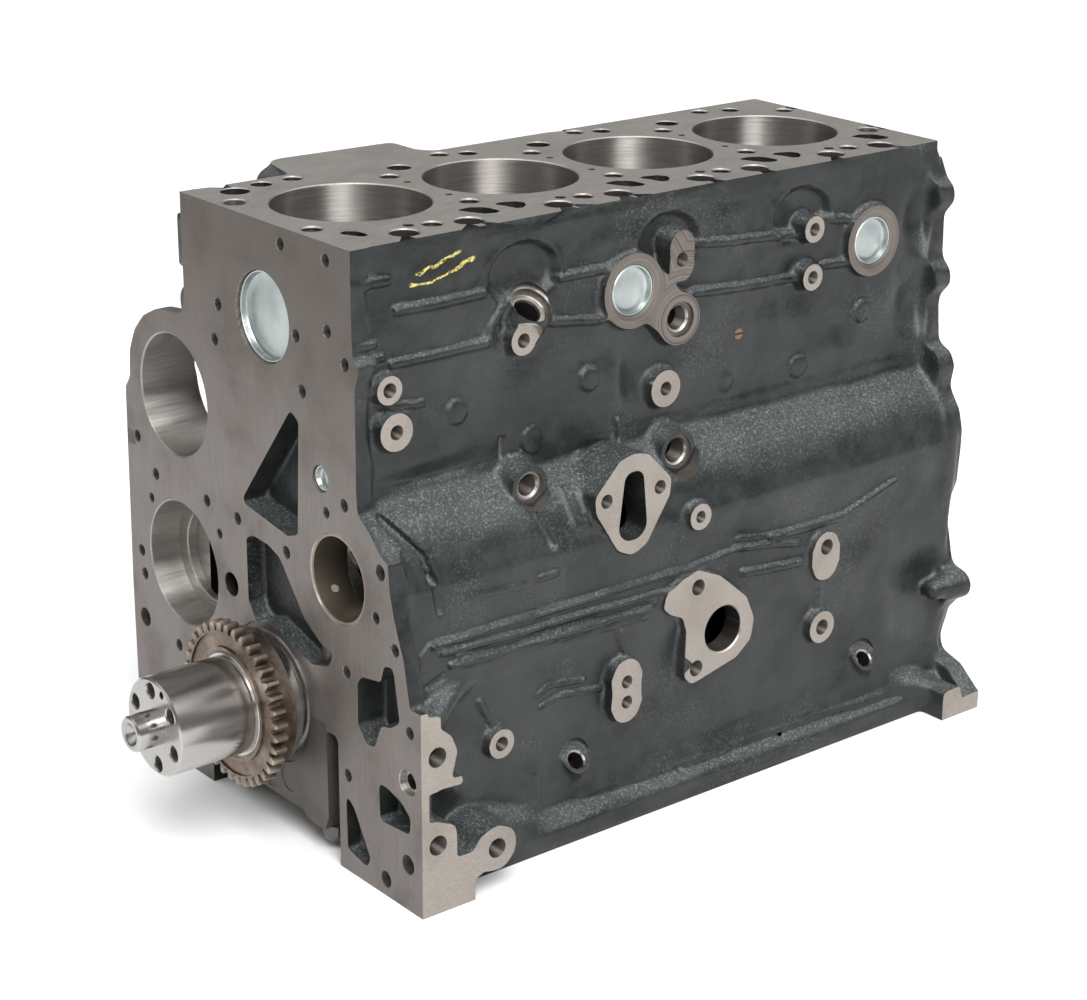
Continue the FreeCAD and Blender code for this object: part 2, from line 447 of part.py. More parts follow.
# ---- rear face
for (y, z) in ((-95.0, 300.0), (95.0, 290.0), (-105.0, 228.0), (95.0, 228.0), (-112.0, 165.0),
               (112.0, 160.0), (-125.0, 100.0), (125.0, 100.0), (-140.0, 0.0), (140.0, 0.0),
               (-120.0, -60.0), (120.0, -60.0)):
    cut.append(cx(y, z, 5.1, REAR_X - 24.0, REAR_X + 5.0))
cut.append(cx(0.0, 0.0, 62.0, REAR_X - 1.0, REAR_X + 5.0))

crankcase = solid.cut(cut)
sol = sorted(crankcase.Solids, key=lambda q: -q.Volume)
if len(sol) > 1:
    print("crankcase extra solids:", [round(q.Volume, 1) for q in sol[1:]])
crankcase = keep("crankcase", sol[0])

# ======================================================== main bearing caps
CAP_PROFILE = rounded([(-CAP_Y, 0.0), (-CAP_Y, -70.0), (-62.0, CAP_Z), (-44.0, CAP_Z),
                       (-36.0, -76.0), (36.0, -76.0), (44.0, CAP_Z), (62.0, CAP_Z),
                       (CAP_Y, -70.0), (CAP_Y, 0.0)],
                      [0, 3, 2, 3, 3, 3, 3, 2, 3, 0])
for k, (a, b) in enumerate(CAPS):
    cap = prism_x(CAP_PROFILE, a, b)
    tools = [cx(0.0, 0.0, MAIN_HOUSE_R, a - 1.0, b + 1.0)]
    xm = (a + b) / 2.0
    for s in (-1, 1):
        tools.append(cz(xm, BOLT_Y * s, BOLT_R + 0.3, CAP_Z - 5.0, 5.0))
    if k == 0:
        # milled spots on the front of the first cap
        tools.append(cx(-20.0, -58.0, 10.0, a - 1.0, a + 0.5))
        tools.append(cx(4.0, -66.0, 7.0, a - 1.0, a + 0.5))
        tools.append(cx(0.0, 0.0, 50.0, -5.0, 1.5))
    if k == 4:
        tools.append(cx(0.0, 0.0, 62.0, REAR_X - 1.0, REAR_X + 5.0))
    keep("main_bearing_cap_%d" % (k + 1), cap.cut(tools))

# ------------------------------------------------------------- bearing shells
for k, (a, b) in enumerate(SHELL_W):
    ring = cx(0.0, 0.0, MAIN_HOUSE_R, a, b).cut(cx(0.0, 0.0, SHELL_IN_R, a - 1.0, b + 1.0))
    up = ring.common(box(a - 2.0, b + 2.0, -60.0, 60.0, 0.0, 60.0))
    groove = cx(0.0, 0.0, SHELL_IN_R + 1.0, (a + b) / 2 - 2.0, (a + b) / 2 + 2.0)
    up = up.cut([groove, cz((a + b) / 2.0, 0.0, 3.0, 30.0, 60.0)])
    lo = ring.common(box(a - 2.0, b + 2.0, -60.0, 60.0, -60.0, 0.0))
    keep("main_shell_upper_%d" % (k + 1), up)
    keep("main_shell_lower_%d" % (k + 1), lo)

# --------------------------------------------------------------- cap bolts
bolts = []
for (a, b) in CAPS:
    xm = (a + b) / 2.0
    for s in (-1, 1):
        y = BOLT_Y * s
        hexa = [(xm + 10.9 * math.cos(math.radians(60 * i)), y + 10.9 * math.sin(math.radians(60 * i)))
                for i in range(6)]
        head = prism_z(hexa, CAP_Z - 11.0, CAP_Z)
        head = head.common(Part.makeCone(8.6, 13.0, 8.8, V(xm, y, CAP_Z - 11.0), V(0, 0, 1)).fuse(
            cz(xm, y, 13.0, CAP_Z - 2.4, CAP_Z)))
        shank = cz(xm, y, BOLT_R, CAP_Z - 1.0, 52.0)
        bolts.append(head.fuse(shank).removeSplitter())
keep("main_cap_bolts", Part.makeCompound(bolts))

# ------------------------------------------------------------ thrust washers
tw = []
for (a, b) in ((241.6, 244.1), (279.7, 282.2)):
    t = cx(0.0, 0.0, 53.0, a, b).cut(cx(0.0, 0.0, 44.0, a - 1.0, b + 1.0))
    t = t.common(box(a - 1.0, b + 1.0, -60.0, 60.0, 0.2, 60.0))
    tw.append(t)
keep("thrust_washer_front", tw[0])
keep("thrust_washer_rear", tw[1])

# ------------------------------------------------------------------ cam bushes
CAMB = [(1.0, 27.0), (125.9, 147.9), (250.9, 272.9), (375.9, 397.9), (505.0, 523.0)]
for k, (a, b) in enumerate(CAMB):
    bush = cx(CAM_Y, CAM_Z, CAM_HOUSE_R, a, b).cut([
        cx(CAM_Y, CAM_Z, CAM_BORE_R, a - 1.0, b + 1.0),
        Part.makeCylinder(3.0, 20.0, V((a + b) / 2.0, CAM_Y + 20.0, CAM_Z - 14.0),
                          V(0, 0.8, -0.6)),
        Part.makeCylinder(3.0, 20.0, V((a + b) / 2.0, CAM_Y - 20.0, CAM_Z + 2.0),
                          V(0, -1.0, 0.1))])
    keep("cam_bush_%d" % (k + 1), bush)


# ------------------------------------------------------------------ core plugs
def cup(axis, c, r, depth, wall, face):
    """Pressed cup plug, open side outwards; c is the centre of the open rim."""
    d = V(*axis)
    outer = Part.makeCylinder(r, depth, V(*c), d)
    p = V(*c) - d * 1.0
    inner = Part.makeCylinder(r - wall, depth + 1.0 - face, p, d)
    return outer.cut(inner)


keep("front_core_plug", cup((1, 0, 0), (2.5, FPLUG_Y, FPLUG_Z), FPLUG_R, 8.0, 2.0, 2.2))
keep("front_gallery_plug", cup((1, 0, 0), (2.0, GPLUG_Y, GPLUG_Z), GPLUG_R, 6.0, 1.4, 1.8))
keep("side_core_plug_1", cup((0, 1, 0), (CPLUG1_X, UP_Y + 1.5, CPLUG1_Z), CPLUG_R, 7.5, 1.6, 1.8))
keep("side_core_plug_2", cup((0, 1, 0), (CPLUG2_X, UP_Y + 1.5, CPLUG2_Z), CPLUG_R, 7.5, 1.6, 1.8))
keep("cam_rear_plug", cx(CAM_Y, CAM_Z, CAM_HOUSE_R, 525.0, 531.0).cut(
    cx(CAM_Y, CAM_Z, CAM_HOUSE_R - 2.0, 527.2, 535.0)))
screw = cy(328.7, 221.4, 4.0, -106.5, -95.0).cut(box(322.0, 336.0, -108.0, -104.9, 220.8, 222.0))
keep("side_slotted_plug", screw)
keep("deck_ring_dowels", Part.makeCompound([
    cz(x, y, 8.9, DECK_Z - 9.0, DECK_Z - 0.6).cut(cz(x, y, 7.4, DECK_Z - 10.0, DECK_Z + 1.0))
    for (x, y) in DOWELS]))

# ================================================================ crankshaft
cs = []
# nose, gear seat, collar and first main journal
cs.append(cx(0, 0, STUB_R, STUB_X, NOSE_X + 1.0))
cs.append(cx(0, 0, NOSE_R, NOSE_X, GEAR_X0 + 2.0))
cs.append(cx(0, 0, GEAR_SEAT_R, GEAR_X0 + 1.0, -11.0))
cs.append(cx(0, 0, 47.5, -11.0, -5.0))
cs.append(cx(0, 0, MAIN_R, -5.0, 34.0))
for i in range(1, NCYL):
    a = BORES[i - 1] + 40.0
    b = BORES[i] - 40.0
    cs.append(cx(0, 0, MAIN_R, a, b))
cs.append(cx(0, 0, MAIN_R, 489.0, 534.0))
cs.append(cx(0, 0, 51.0, 532.5, REAR_FLANGE_X0 + 2.0))
cs.append(cx(0, 0, REAR_FLANGE_R, REAR_FLANGE_X0, REAR_FLANGE_X1))


def web(zs):
    """Crank cheek outline in (y, z): pin side towards zs, counterweight opposite."""
    pin_r, pin_a = 46.0, math.radians(72.0)
    c = THROW - 8.0
    cw_r, cw_a = 88.0, math.radians(58.0)
    py, pz = pin_r * math.sin(pin_a), c + pin_r * math.cos(pin_a)
    wy, wz = cw_r * math.sin(cw_a), -cw_r * math.cos(cw_a)
    return [((-py, zs * pz), (0.0, zs * (c + pin_r)), (py, zs * pz)),
            (56.0, zs * 6.0),
            ((wy, zs * wz), (0.0, -zs * cw_r), (-wy, zs * wz)),
            (-56.0, zs * 6.0)]


SIGN = [1, -1, -1, 1]
for i, x in enumerate(BORES):
    s = SIGN[i]
    cs.append(cx(0, s * THROW, PIN_R, x - 21.0, x + 21.0))
    for (a, b) in ((x - 42.0, x - 20.0), (x + 20.0, x + 42.0)):
        cs.append(prism_x(web(s), a, b))
crank = fuse_all(cs)
ct = []
# nose: six threaded holes, dowel hole, centre drilling
for ang in (24.0, 84.0, 144.0, 204.0, 264.0, 324.0):
    y = 26.0 * math.cos(math.radians(ang))
    z = 26.0 * math.sin(math.radians(ang))
    ct.append(cx(y, z, 5.2, NOSE_X - 2.0, NOSE_X + 30.0))
ct.append(cx(30.2 * math.cos(math.radians(112.8)) * 0.98, 30.2 * math.sin(math.radians(112.8)) * 0.98,
             2.6, NOSE_X - 2.0, NOSE_X + 8.0))
ct.append(Part.makeCone(8.2, 2.5, 11.0, V(STUB_X, 0, 0), V(1, 0, 0)))
ct.append(cx(0, 0, 2.5, STUB_X - 1.0, STUB_X + 18.0))
# rear flange: eight threaded holes, spigot bore
for k in range(8):
    a = math.radians(22.5 + 45.0 * k)
    ct.append(cx(44.0 * math.cos(a), 44.0 * math.sin(a), 5.2, REAR_FLANGE_X1 - 20.0,
                 REAR_FLANGE_X1 + 2.0))
ct.append(cx(0, 0, 26.0, REAR_FLANGE_X1 - 12.0, REAR_FLANGE_X1 + 2.0))
ct.append(cx(0.0, -44.0, 4.0, REAR_FLANGE_X1 - 10.0, REAR_FLANGE_X1 + 2.0))
# oil holes in the pins
for i, x in enumerate(BORES):
    s = SIGN[i]
    z0 = s * (THROW + PIN_R)
    ct.append(cz(x, 0.0, 3.0, min(z0, z0 - s * 25.0) - 1.0, max(z0, z0 - s * 25.0) + 1.0))
crank = crank.cut(ct)
# chamfers by turning
ring = cx(0, 0, NOSE_R + 5.0, NOSE_X - 1.0, NOSE_X + 1.2).cut(
    Part.makeCone(NOSE_R - 2.2, NOSE_R, 2.2, V(NOSE_X - 1.0, 0, 0), V(1, 0, 0)))
crank = crank.cut(ring)
crank = keep("crankshaft", crank)


# ------------------------------------------------------------------ crank gear
def gear_points(n, m, backlash=0.12):
    rp = m * n / 2.0
    ra = rp + m
    rf = rp - 1.25 * m
    rb = rp * math.cos(math.radians(20.0))
    inv = lambda r: math.tan(math.acos(min(1.0, rb / r))) - math.acos(min(1.0, rb / r))
    half = math.pi / (2 * n) - backlash / (2 * rp)
    base = half + inv(rp)
    pts = []
    rs = [max(rf, rb), rp - 0.5 * m, rp, rp + 0.5 * m, ra]
    for k in range(n):
        c = 2 * math.pi * k / n + math.radians(1.2)
        left = [(r, c - (base - inv(r))) for r in rs]
        right = [(r, c + (base - inv(r))) for r in reversed(rs)]
        g = math.pi / n
        pts.append((rf, c - g * 0.985))
        pts.append((rf, c - base - 0.004))
        pts += left + right
        pts.append((rf, c + base + 0.004))
    return [(r * math.cos(a), r * math.sin(a)) for (r, a) in pts]


teeth = prism_x(gear_points(GEAR_Z, GEAR_M), GEAR_X0, GEAR_X1)
hub = cx(0, 0, 50.0, GEAR_X1 - 0.5, -11.2)
gear = teeth.fuse(hub).removeSplitter()
gear = gear.cut(cx(0, 0, GEAR_SEAT_R, GEAR_X0 - 2.0, -9.0))
keep("crank_gear", gear)

keep("crank_rear_dowel", cx(0.0, -44.0, 4.0, REAR_FLANGE_X1 - 10.0, REAR_FLANGE_X1 - 0.5).fuse(
    cx(0.0, -44.0, 3.8, REAR_FLANGE_X1 - 1.0, REAR_FLANGE_X1 + 5.0)).removeSplitter())
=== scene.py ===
import bpy, bmesh, math, json
import numpy as np
from mathutils import Vector, Matrix

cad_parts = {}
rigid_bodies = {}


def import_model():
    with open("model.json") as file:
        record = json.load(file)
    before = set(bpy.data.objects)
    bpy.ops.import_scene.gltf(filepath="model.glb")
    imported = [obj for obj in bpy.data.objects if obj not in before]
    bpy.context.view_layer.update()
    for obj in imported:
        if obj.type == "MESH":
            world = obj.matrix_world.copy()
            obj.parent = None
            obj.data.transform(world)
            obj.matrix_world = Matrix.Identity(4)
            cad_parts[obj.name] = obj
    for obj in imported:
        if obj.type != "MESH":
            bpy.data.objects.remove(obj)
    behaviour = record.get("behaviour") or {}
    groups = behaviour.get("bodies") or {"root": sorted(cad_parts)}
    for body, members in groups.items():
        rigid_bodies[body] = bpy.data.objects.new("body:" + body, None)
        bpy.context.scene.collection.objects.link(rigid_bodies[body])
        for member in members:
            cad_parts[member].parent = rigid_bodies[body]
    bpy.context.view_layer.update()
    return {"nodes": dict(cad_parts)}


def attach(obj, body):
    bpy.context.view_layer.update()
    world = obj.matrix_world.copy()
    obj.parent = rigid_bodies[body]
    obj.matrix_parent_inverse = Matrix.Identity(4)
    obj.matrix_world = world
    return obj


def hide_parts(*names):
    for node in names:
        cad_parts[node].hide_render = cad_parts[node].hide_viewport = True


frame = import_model()
rng = np.random.default_rng(7)

# The casting is drawn in millimetres from the crank axis in the plane of the
# front face (x into the block, y to the far side, z up) and moved by OFF.
OFF = np.array([-225.0, -4.85, 100.0])
DECK_Z, BOT_Z, DECK_YN, DECK_YF, DECK_X1, REAR_X = 333.0, -100.0, -104.6, 92.0, 526.0, 532.0
PAD_Y, BOSS_Y, UP_Y = -174.3, -146.0, -112.0
CAM = (-84.2, 109.6)
IDL = (110.1, 60.5, 45.6)
PMP = (113.6, 185.0, 43.7)
BORES = [74.4 + 125.0 * i for i in range(4)]
BAYS = [(30.0, 123.9), (149.9, 244.1), (279.7, 373.9), (399.9, 502.0)]

# material slots of the casting
M_CAST, M_DECK, M_FRONT, M_BOSS, M_PAD, M_BORE, M_HOLE, M_FLAT, M_RAW = range(9)


# ------------------------------------------------------------------ 2-D helpers
def rpoly(pts, radii, seg=5):
    out = []
    n = len(pts)
    for i in range(n):
        r = radii[i] if isinstance(radii, (list, tuple)) else radii
        p0, p1, p2 = np.array(pts[i - 1], float), np.array(pts[i], float), np.array(pts[(i + 1) % n], float)
        a, b = p0 - p1, p2 - p1
        la, lb = np.linalg.norm(a), np.linalg.norm(b)
        a, b = a / la, b / lb
        ang = math.acos(max(-1.0, min(1.0, float(a @ b))))
        if r <= 0 or ang > math.radians(172):
            out.append(tuple(p1))
            continue
        t = min(r / math.tan(ang / 2), 0.45 * la, 0.45 * lb)
        rr = t * math.tan(ang / 2)
        c = p1 + (a + b) / np.linalg.norm(a + b) * (rr / math.sin(ang / 2))
        s, e = p1 + a * t - c, p1 + b * t - c
        a0 = math.atan2(s[1], s[0])
        a1 = math.atan2(e[1], e[0])
        d = (a1 - a0 + math.pi) % (2 * math.pi) - math.pi
        for k in range(seg + 1):
            q = a0 + d * k / seg
            out.append((c[0] + rr * math.cos(q), c[1] + rr * math.sin(q)))
    return out


def poly2(P, u, v):
    """Signed distance of the points (u, v) to a closed polygon, inside negative."""
    d = np.full(np.broadcast(u, v).shape, 1e9, np.float32)
    s = np.ones(d.shape, np.float32)
    n = len(P)
    for i in range(n):
        x0, y0 = P[i]
        x1, y1 = P[(i + 1) % n]
        ex, ey = x1 - x0, y1 - y0
        L = ex * ex + ey * ey
        if L < 1e-9:
            continue
        wx, wy = u - x0, v - y0
        t = np.clip((wx * ex + wy * ey) / L, 0, 1)
        d = np.minimum(d, (wx - ex * t) ** 2 + (wy - ey * t) ** 2)
        c1 = (v >= y0) & (v < y1) & (ex * wy > ey * wx)
        c2 = (v < y0) & (v >= y1) & (ex * wy < ey * wx)
        s = np.where(c1 | c2, -s, s)
    return np.sqrt(d) * s


# --------------------------------------------------------------------- outlines
FRONT = rpoly([
    (DECK_YN, DECK_Z + 17), (DECK_YN, 266.0), (-113.0, 257.0), (-108.3, 245.0),
    (-107.0, 160.0), (-125.0, 143.0), (-141.0, 138.0), (-142.0, 116.0),
    (-150.0, 94.0), (-156.6, 77.0), (-163.0, 45.0), (PAD_Y - 2, 41.0), (PAD_Y - 2, -8.0),
    (-168.6, -16.0), (-168.8, -29.0), (PAD_Y - 2, -35.0), (PAD_Y - 2, BOT_Z - 8),
    (183.5, BOT_Z - 8), (184.0, 20.0), (180.0, 175.0), (172.0, 185.0), (171.0, 204.0),
    (163.0, 221.0), (150.0, 234.0), (131.0, 243.0), (112.0, 245.0), (98.0, 247.0),
    (DECK_YF, 262.0), (DECK_YF, DECK_Z + 17)],
    [0, 4, 4, 4, 6, 6, 4, 8, 8, 8, 5, 0, 0, 3, 3, 0, 0, 0, 20, 3, 3, 6, 6, 6, 6, 6, 8, 8, 0])
REAR = rpoly([
    (-103.0, 320.0), (-110.0, 306.0), (-117.0, 300.0), (-119.0, 290.0), (-110.0, 278.0),
    (-109.0, 246.0), (-118.0, 237.0), (-120.0, 227.0), (-112.0, 217.0), (-110.0, 209.0),
    (-111.0, 180.0), (-124.0, 175.0), (-128.0, 165.0), (-126.0, 148.0), (-136.0, 132.0),
    (-140.0, 117.0), (-140.0, 104.0), (-138.0, 76.0), (-133.0, 62.0), (-131.0, 44.0),
    (-136.0, 26.0), (-140.0, 11.0), (-153.0, 2.0), (-155.0, -9.0), (-138.0, -28.0),
    (-132.0, -52.0), (-134.0, -64.0), (-154.0, -70.0), (PAD_Y - 2, -89.0), (PAD_Y - 2, BOT_Z - 8),
    (174.3, BOT_Z - 8), (174.3, -89.0), (154.0, -70.0), (134.0, -64.0), (132.0, -52.0),
    (138.0, -28.0), (155.0, -9.0), (153.0, 2.0), (140.0, 11.0), (136.0, 26.0),
    (136.0, 76.0), (138.0, 104.0), (130.0, 140.0), (118.0, 165.0), (111.0, 180.0),
    (103.0, 209.0), (110.0, 227.0), (100.0, 246.0), (98.0, 278.0), (106.0, 295.0),
    (98.0, 310.0), (90.0, 320.0)],
    [0] + [11] * 27 + [6, 0, 0, 4] + [8] * 20)
BODY = [
    (DECK_YN, 172.0), (-106.0, 150.0), (-141.0, 112.0), (-141.0, 36.0), (-138.0, 10.0),
    (-138.0, -50.0), (-143.0, -74.0), (-152.0, -87.0), (-152.0, BOT_Z - 8), (152.0, BOT_Z - 8),
    (152.0, -87.0), (143.0, -74.0), (138.0, -50.0), (138.0, 10.0), (141.0, 54.0),
    (139.0, 92.0), (120.0, 128.0), (DECK_YF, 165.0), (DECK_YF, 172.0)]
BAY = rpoly([(-134.0, BOT_Z - 15.0), (-131.0, -60.0), (-129.0, 40.0), (-129.0, 78.0),
             (-118.0, 100.0), (-88.0, 132.0), (74.0, 132.0), (112.0, 104.0), (129.0, 76.0),
             (129.0, 40.0), (131.0, -60.0), (134.0, BOT_Z - 15.0)],
            [0, 10, 10, 10, 10, 14, 18, 18, 14, 10, 10, 0])
FUEL = rpoly([(199.4, 171.0), (212.0, 168.0), (233.5, 146.0), (232.0, 134.0), (212.0, 104.0),
              (199.4, 98.0), (186.8, 104.0), (166.8, 134.0), (165.3, 146.0), (186.8, 168.0)],
             [6, 8, 8, 8, 10, 10, 10, 8, 8, 8])
PUMPF = rpoly([(261.3, 71.6), (246.0, 68.0), (231.0, 59.0), (229.0, 50.0), (236.0, 44.0),
               (247.0, 39.0), (250.5, 28.0), (249.8, -7.3), (257.0, -14.5), (299.6, -4.7),
               (313.3, 6.0), (315.9, 21.7), (307.8, 40.0), (281.5, 62.6)],
              [8, 4, 4, 4, 3, 3, 3, 6, 6, 8, 8, 8, 8, 8])
PAD_UP = rpoly([(-10.0, 41.0), (15.5, 41.0), (15.7, 32.0), (24.0, 25.0), (29.0, 13.0),
                (24.0, -5.3), (33.0, -5.7), (33.0, -11.8), (-10.0, -9.0)],
               [0, 1, 3, 5, 6, 2, 0.5, 0.5, 0])
PAD_LO = rpoly([(-10.0, -33.0), (14.0, -33.5), (28.0, -40.0), (28.2, -63.6), (41.0, -63.8),
                (48.0, -55.0), (61.0, -50.5), (76.5, -58.0), (77.0, -74.0), (66.0, -85.0),
                (50.0, -82.0), (43.0, -85.0), (43.0, BOT_Z - 8), (-10.0, BOT_Z - 8)],
               [0, 8, 9, 0.5, 5, 8, 12, 12, 12, 12, 4, 3, 0, 0])
PAD_RR = rpoly([(492.0, -77.0), (510.0, -76.0), (514.0, -88.0), (542.0, -88.0),
                (542.0, BOT_Z - 8), (492.0, BOT_Z - 8)], [4, 4, 3, 0, 0, 0])
POCKETS = [
    (rpoly([(-104.8, 44.0), (-110.0, 50.0), (-131.0, 53.5), (-135.0, 66.0), (-145.0, 68.5),
            (-151.5, 32.0), (-141.5, 25.0), (-131.0, 22.6), (-123.0, 4.5), (-114.0, 3.0),
            (-104.5, 14.0)], 4.0), 22.0),
    (rpoly([(-127.0, -19.5), (-137.0, -20.0), (-152.0, -24.0), (-162.0, -32.0), (-161.0, -44.0),
            (-128.0, -46.5)], 4.0), 16.0),
    (rpoly([(-88.7, -43.0), (-98.0, -50.0), (-116.0, -80.0), (-112.0, -88.0), (-89.5, -83.5)],
           4.0), 12.0),
    (rpoly([(-34.0, 212.0), (-43.5, 207.0), (-39.0, 127.0), (-27.0, 122.5), (30.0, 131.0)],
           4.0), 20.0),
    (rpoly([(25.0, 106.0), (16.0, 110.0), (-2.0, 109.0), (-16.0, 104.0), (-29.0, 88.0),
            (-44.0, 69.0), (-64.0, 57.0), (-78.0, 56.5), (-72.0, 44.0), (-52.0, 38.5),
            (-25.0, 45.5), (-2.0, 52.0), (16.0, 47.0), (25.0, 60.0)], 5.0), 14.0)]

# ------------------------------------------------------------ the casting's field
H = 1.8
LO = np.array([-8.0, -182.0, -106.0])
HI = np.array([540.0, 192.0, 352.0])
NG = np.ceil((HI - LO) / H).astype(int) + 1
G = np.full(NG, 60.0, np.float32)
AX = [(LO[i] + H * np.arange(NG[i])).astype(np.float32) for i in range(3)]


def win(b, pad):
    sl = []
    for i in range(3):
        a = max(0, int(math.floor((b[2 * i] - pad - LO[i]) / H)))
        e = min(NG[i], int(math.ceil((b[2 * i + 1] + pad - LO[i]) / H)) + 1)
        sl.append(slice(a, max(a + 1, e)))
    x = AX[0][sl[0]][:, None, None]
    y = AX[1][sl[1]][None, :, None]
    z = AX[2][sl[2]][None, None, :]
    return tuple(sl), x, y, z


def smin(a, b, k):
    if k <= 0:
        return np.minimum(a, b)
    h = np.maximum(k - np.abs(a - b), 0) / k
    return np.minimum(a, b) - h * h * (k * 0.25)


def put(prim, k=3.0, cut=False):
    b, fn = prim
    sl, x, y, z = win(b, k + 4 * H)
    d = fn(x, y, z)
    if cut:
        G[sl] = -smin(-G[sl], d, k)
    else:
        G[sl] = smin(G[sl], d, k)


def both(a, b, r=0.0):
    return -smin(-a, -b, r) if r > 0 else np.maximum(a, b)


def px(P, x0, x1, r=0.0, grow=0.0):
    P2 = np.array(P)
    b = (x0, x1, P2[:, 0].min(), P2[:, 0].max(), P2[:, 1].min(), P2[:, 1].max())

    def fn(x, y, z):
        d = poly2(P, y[0], z[0])[None] - grow
        return both(d, np.abs(x - (x0 + x1) / 2) - (x1 - x0) / 2, r)
    return b, fn


def py(P, y0, y1, r=0.0, grow=0.0):
    P2 = np.array(P)
    b = (P2[:, 0].min(), P2[:, 0].max(), y0, y1, P2[:, 1].min(), P2[:, 1].max())

    def fn(x, y, z):
        d = poly2(P, x[:, 0, :], z[:, 0, :])[:, None, :] - grow
        return both(d, np.abs(y - (y0 + y1) / 2) - (y1 - y0) / 2, r)
    return b, fn


def pz(P, z0, z1, r=0.0, grow=0.0):
    P2 = np.array(P)
    b = (P2[:, 0].min(), P2[:, 0].max(), P2[:, 1].min(), P2[:, 1].max(), z0, z1)

    def fn(x, y, z):
        d = poly2(P, x[:, :, 0], y[:, :, 0])[:, :, None] - grow
        return both(d, np.abs(z - (z0 + z1) / 2) - (z1 - z0) / 2, r)
    return b, fn


def bx(x0, x1, y0, y1, z0, z1, r=0.0):
    def fn(x, y, z):
        dx = np.abs(x - (x0 + x1) / 2) - (x1 - x0) / 2 + r
        dy = np.abs(y - (y0 + y1) / 2) - (y1 - y0) / 2 + r
        dz = np.abs(z - (z0 + z1) / 2) - (z1 - z0) / 2 + r
        o = np.sqrt(np.maximum(dx, 0) ** 2 + np.maximum(dy, 0) ** 2 + np.maximum(dz, 0) ** 2)
        return o + np.minimum(np.maximum(dx, np.maximum(dy, dz)), 0) - r
    return (x0, x1, y0, y1, z0, z1), fn


def cyl(axis, c, r, a, b, rr=1.5, taper=0.0):
    """Round bar: axis 0/1/2, c the other two coordinates in order, from a to b."""
    def fn(x, y, z):
        q = [x, y, z]
        t = q.pop(axis)
        d = np.sqrt((q[0] - c[0]) ** 2 + (q[1] - c[1]) ** 2) - r
        if taper:
            d = d - taper * np.clip(t - a, 0, b - a)
        return both(d, np.abs(t - (a + b) / 2) - (b - a) / 2, rr)
    g = r + abs(taper) * (b - a)
    bb = [c[0] - g, c[0] + g, c[1] - g, c[1] + g]
    bb[2 * axis:2 * axis] = [a, b]
    return tuple(bb), fn


def cap(p0, p1, r0, r1=None):
    p0, p1 = np.array(p0, float), np.array(p1, float)
    r1 = r0 if r1 is None else r1
    m = max(r0, r1)
    lo, hi = np.minimum(p0, p1) - m, np.maximum(p0, p1) + m
    e = p1 - p0

    def fn(x, y, z):
        wx, wy, wz = x - p0[0], y - p0[1], z - p0[2]
        t = np.clip((wx * e[0] + wy * e[1] + wz * e[2]) / float(e @ e), 0, 1)
        d = np.sqrt((wx - e[0] * t) ** 2 + (wy - e[1] * t) ** 2 + (wz - e[2] * t) ** 2)
        return d - (r0 + (r1 - r0) * t)
    return (lo[0], hi[0], lo[1], hi[1], lo[2], hi[2]), fn


# main masses
put(bx(-8, DECK_X1, DECK_YN, DECK_YF, 158.0, DECK_Z + 17, 1.0), 0)
put(px(BODY, -8.0, 524.0, 4.0), 6)
put(cyl(0, CAM, 57.0, -8.0, 521.0, 5.0), 7)
put(px(FRONT, -8.0, 12.5, 2.5), 5)
put(px(REAR, 517.0, 541.0, 3.0), 9)
# far side: column carrying the wide part of the deck, pump and idler housings
put(pz(rpoly([(85.0, 84.0), (98.0, 138.5), (203.0, 133.5), (203.0, 104.0), (216.0, 84.0)],
             [0, 16, 6, 8, 0]), 215.0, DECK_Z + 17, 1.0), 5)
put(pz(rpoly([(62.0, 84.0), (78.0, 126.0), (98.0, 138.5), (203.0, 133.5), (203.0, 104.0),
              (216.0, 84.0)], [0, 18, 16, 6, 8, 0]), 205.0, 318.0, 9.0), 8)
put(cap((95.0, 97.0, 318.0), (97.0, 127.0, 318.0), 13.5, 13.0), 5)
put(cap((82.0, 96.0, 302.0), (84.0, 118.0, 302.0), 17.0, 15.0), 8)
put(bx(3.0, 26.0, 86.0, 105.5, 279.0, 316.0, 2.5), 1.5)
put(cyl(0, (93.0, 255.0), 13.0, 3.0, 26.0, 2.5), 3)
put(cyl(0, PMP[:2], 57.0, -8.0, 44.0, 5.0), 6)
put(bx(-8.0, 44.0, 92.0, 164.0, 118.0, 185.0, 6.0), 6)
put(cyl(0, IDL[:2], 56.0, -8.0, 46.0, 6.0), 6)
# far side feet
put(bx(-8.0, 43.0, 120.0, 181.0, BOT_Z - 8, -64.0, 4.0), 5)
put(bx(490.0, 540.0, 120.0, 174.0, BOT_Z - 8, -78.0, 4.0), 6)
# far side ribs between the bulkheads and along the wall
for x in (137.0, 262.0, 387.0):
    put(cap((x, 138.0, -70.0), (x, 139.0, 70.0), 6.0), 8)
    put(cap((x, 98.0, 175.0), (x, 96.0, 320.0), 5.0), 8)
put(cap((46.0, 94.0, 296.0), (520.0, 94.0, 300.0), 4.0), 5)
put(cap((216.0, 94.0, 232.0), (520.0, 94.0, 226.0), 4.0), 6)
put(cap((30.0, 140.0, 22.0), (516.0, 140.0, 20.0), 4.5), 6)

# ---- camshaft side relief: h(x, z) in mm outwards, added to the upper and lower walls
sl, x, y, z = win((0, 532, -182, -70, -100, 333), 0)
u, v = x[:, 0, :], z[:, 0, :]


def seg2(xa, za, xb, zb):
    ex, ez = xb - xa, zb - za
    t = np.clip(((u - xa) * ex + (v - za) * ez) / max(ex * ex + ez * ez, 1e-9), 0, 1)
    return np.sqrt((u - xa - ex * t) ** 2 + (v - za - ez * t) ** 2)


def step(a, b, t):
    t = np.clip((t - a) / (b - a), 0, 1)
    return t * t * (3 - 2 * t)


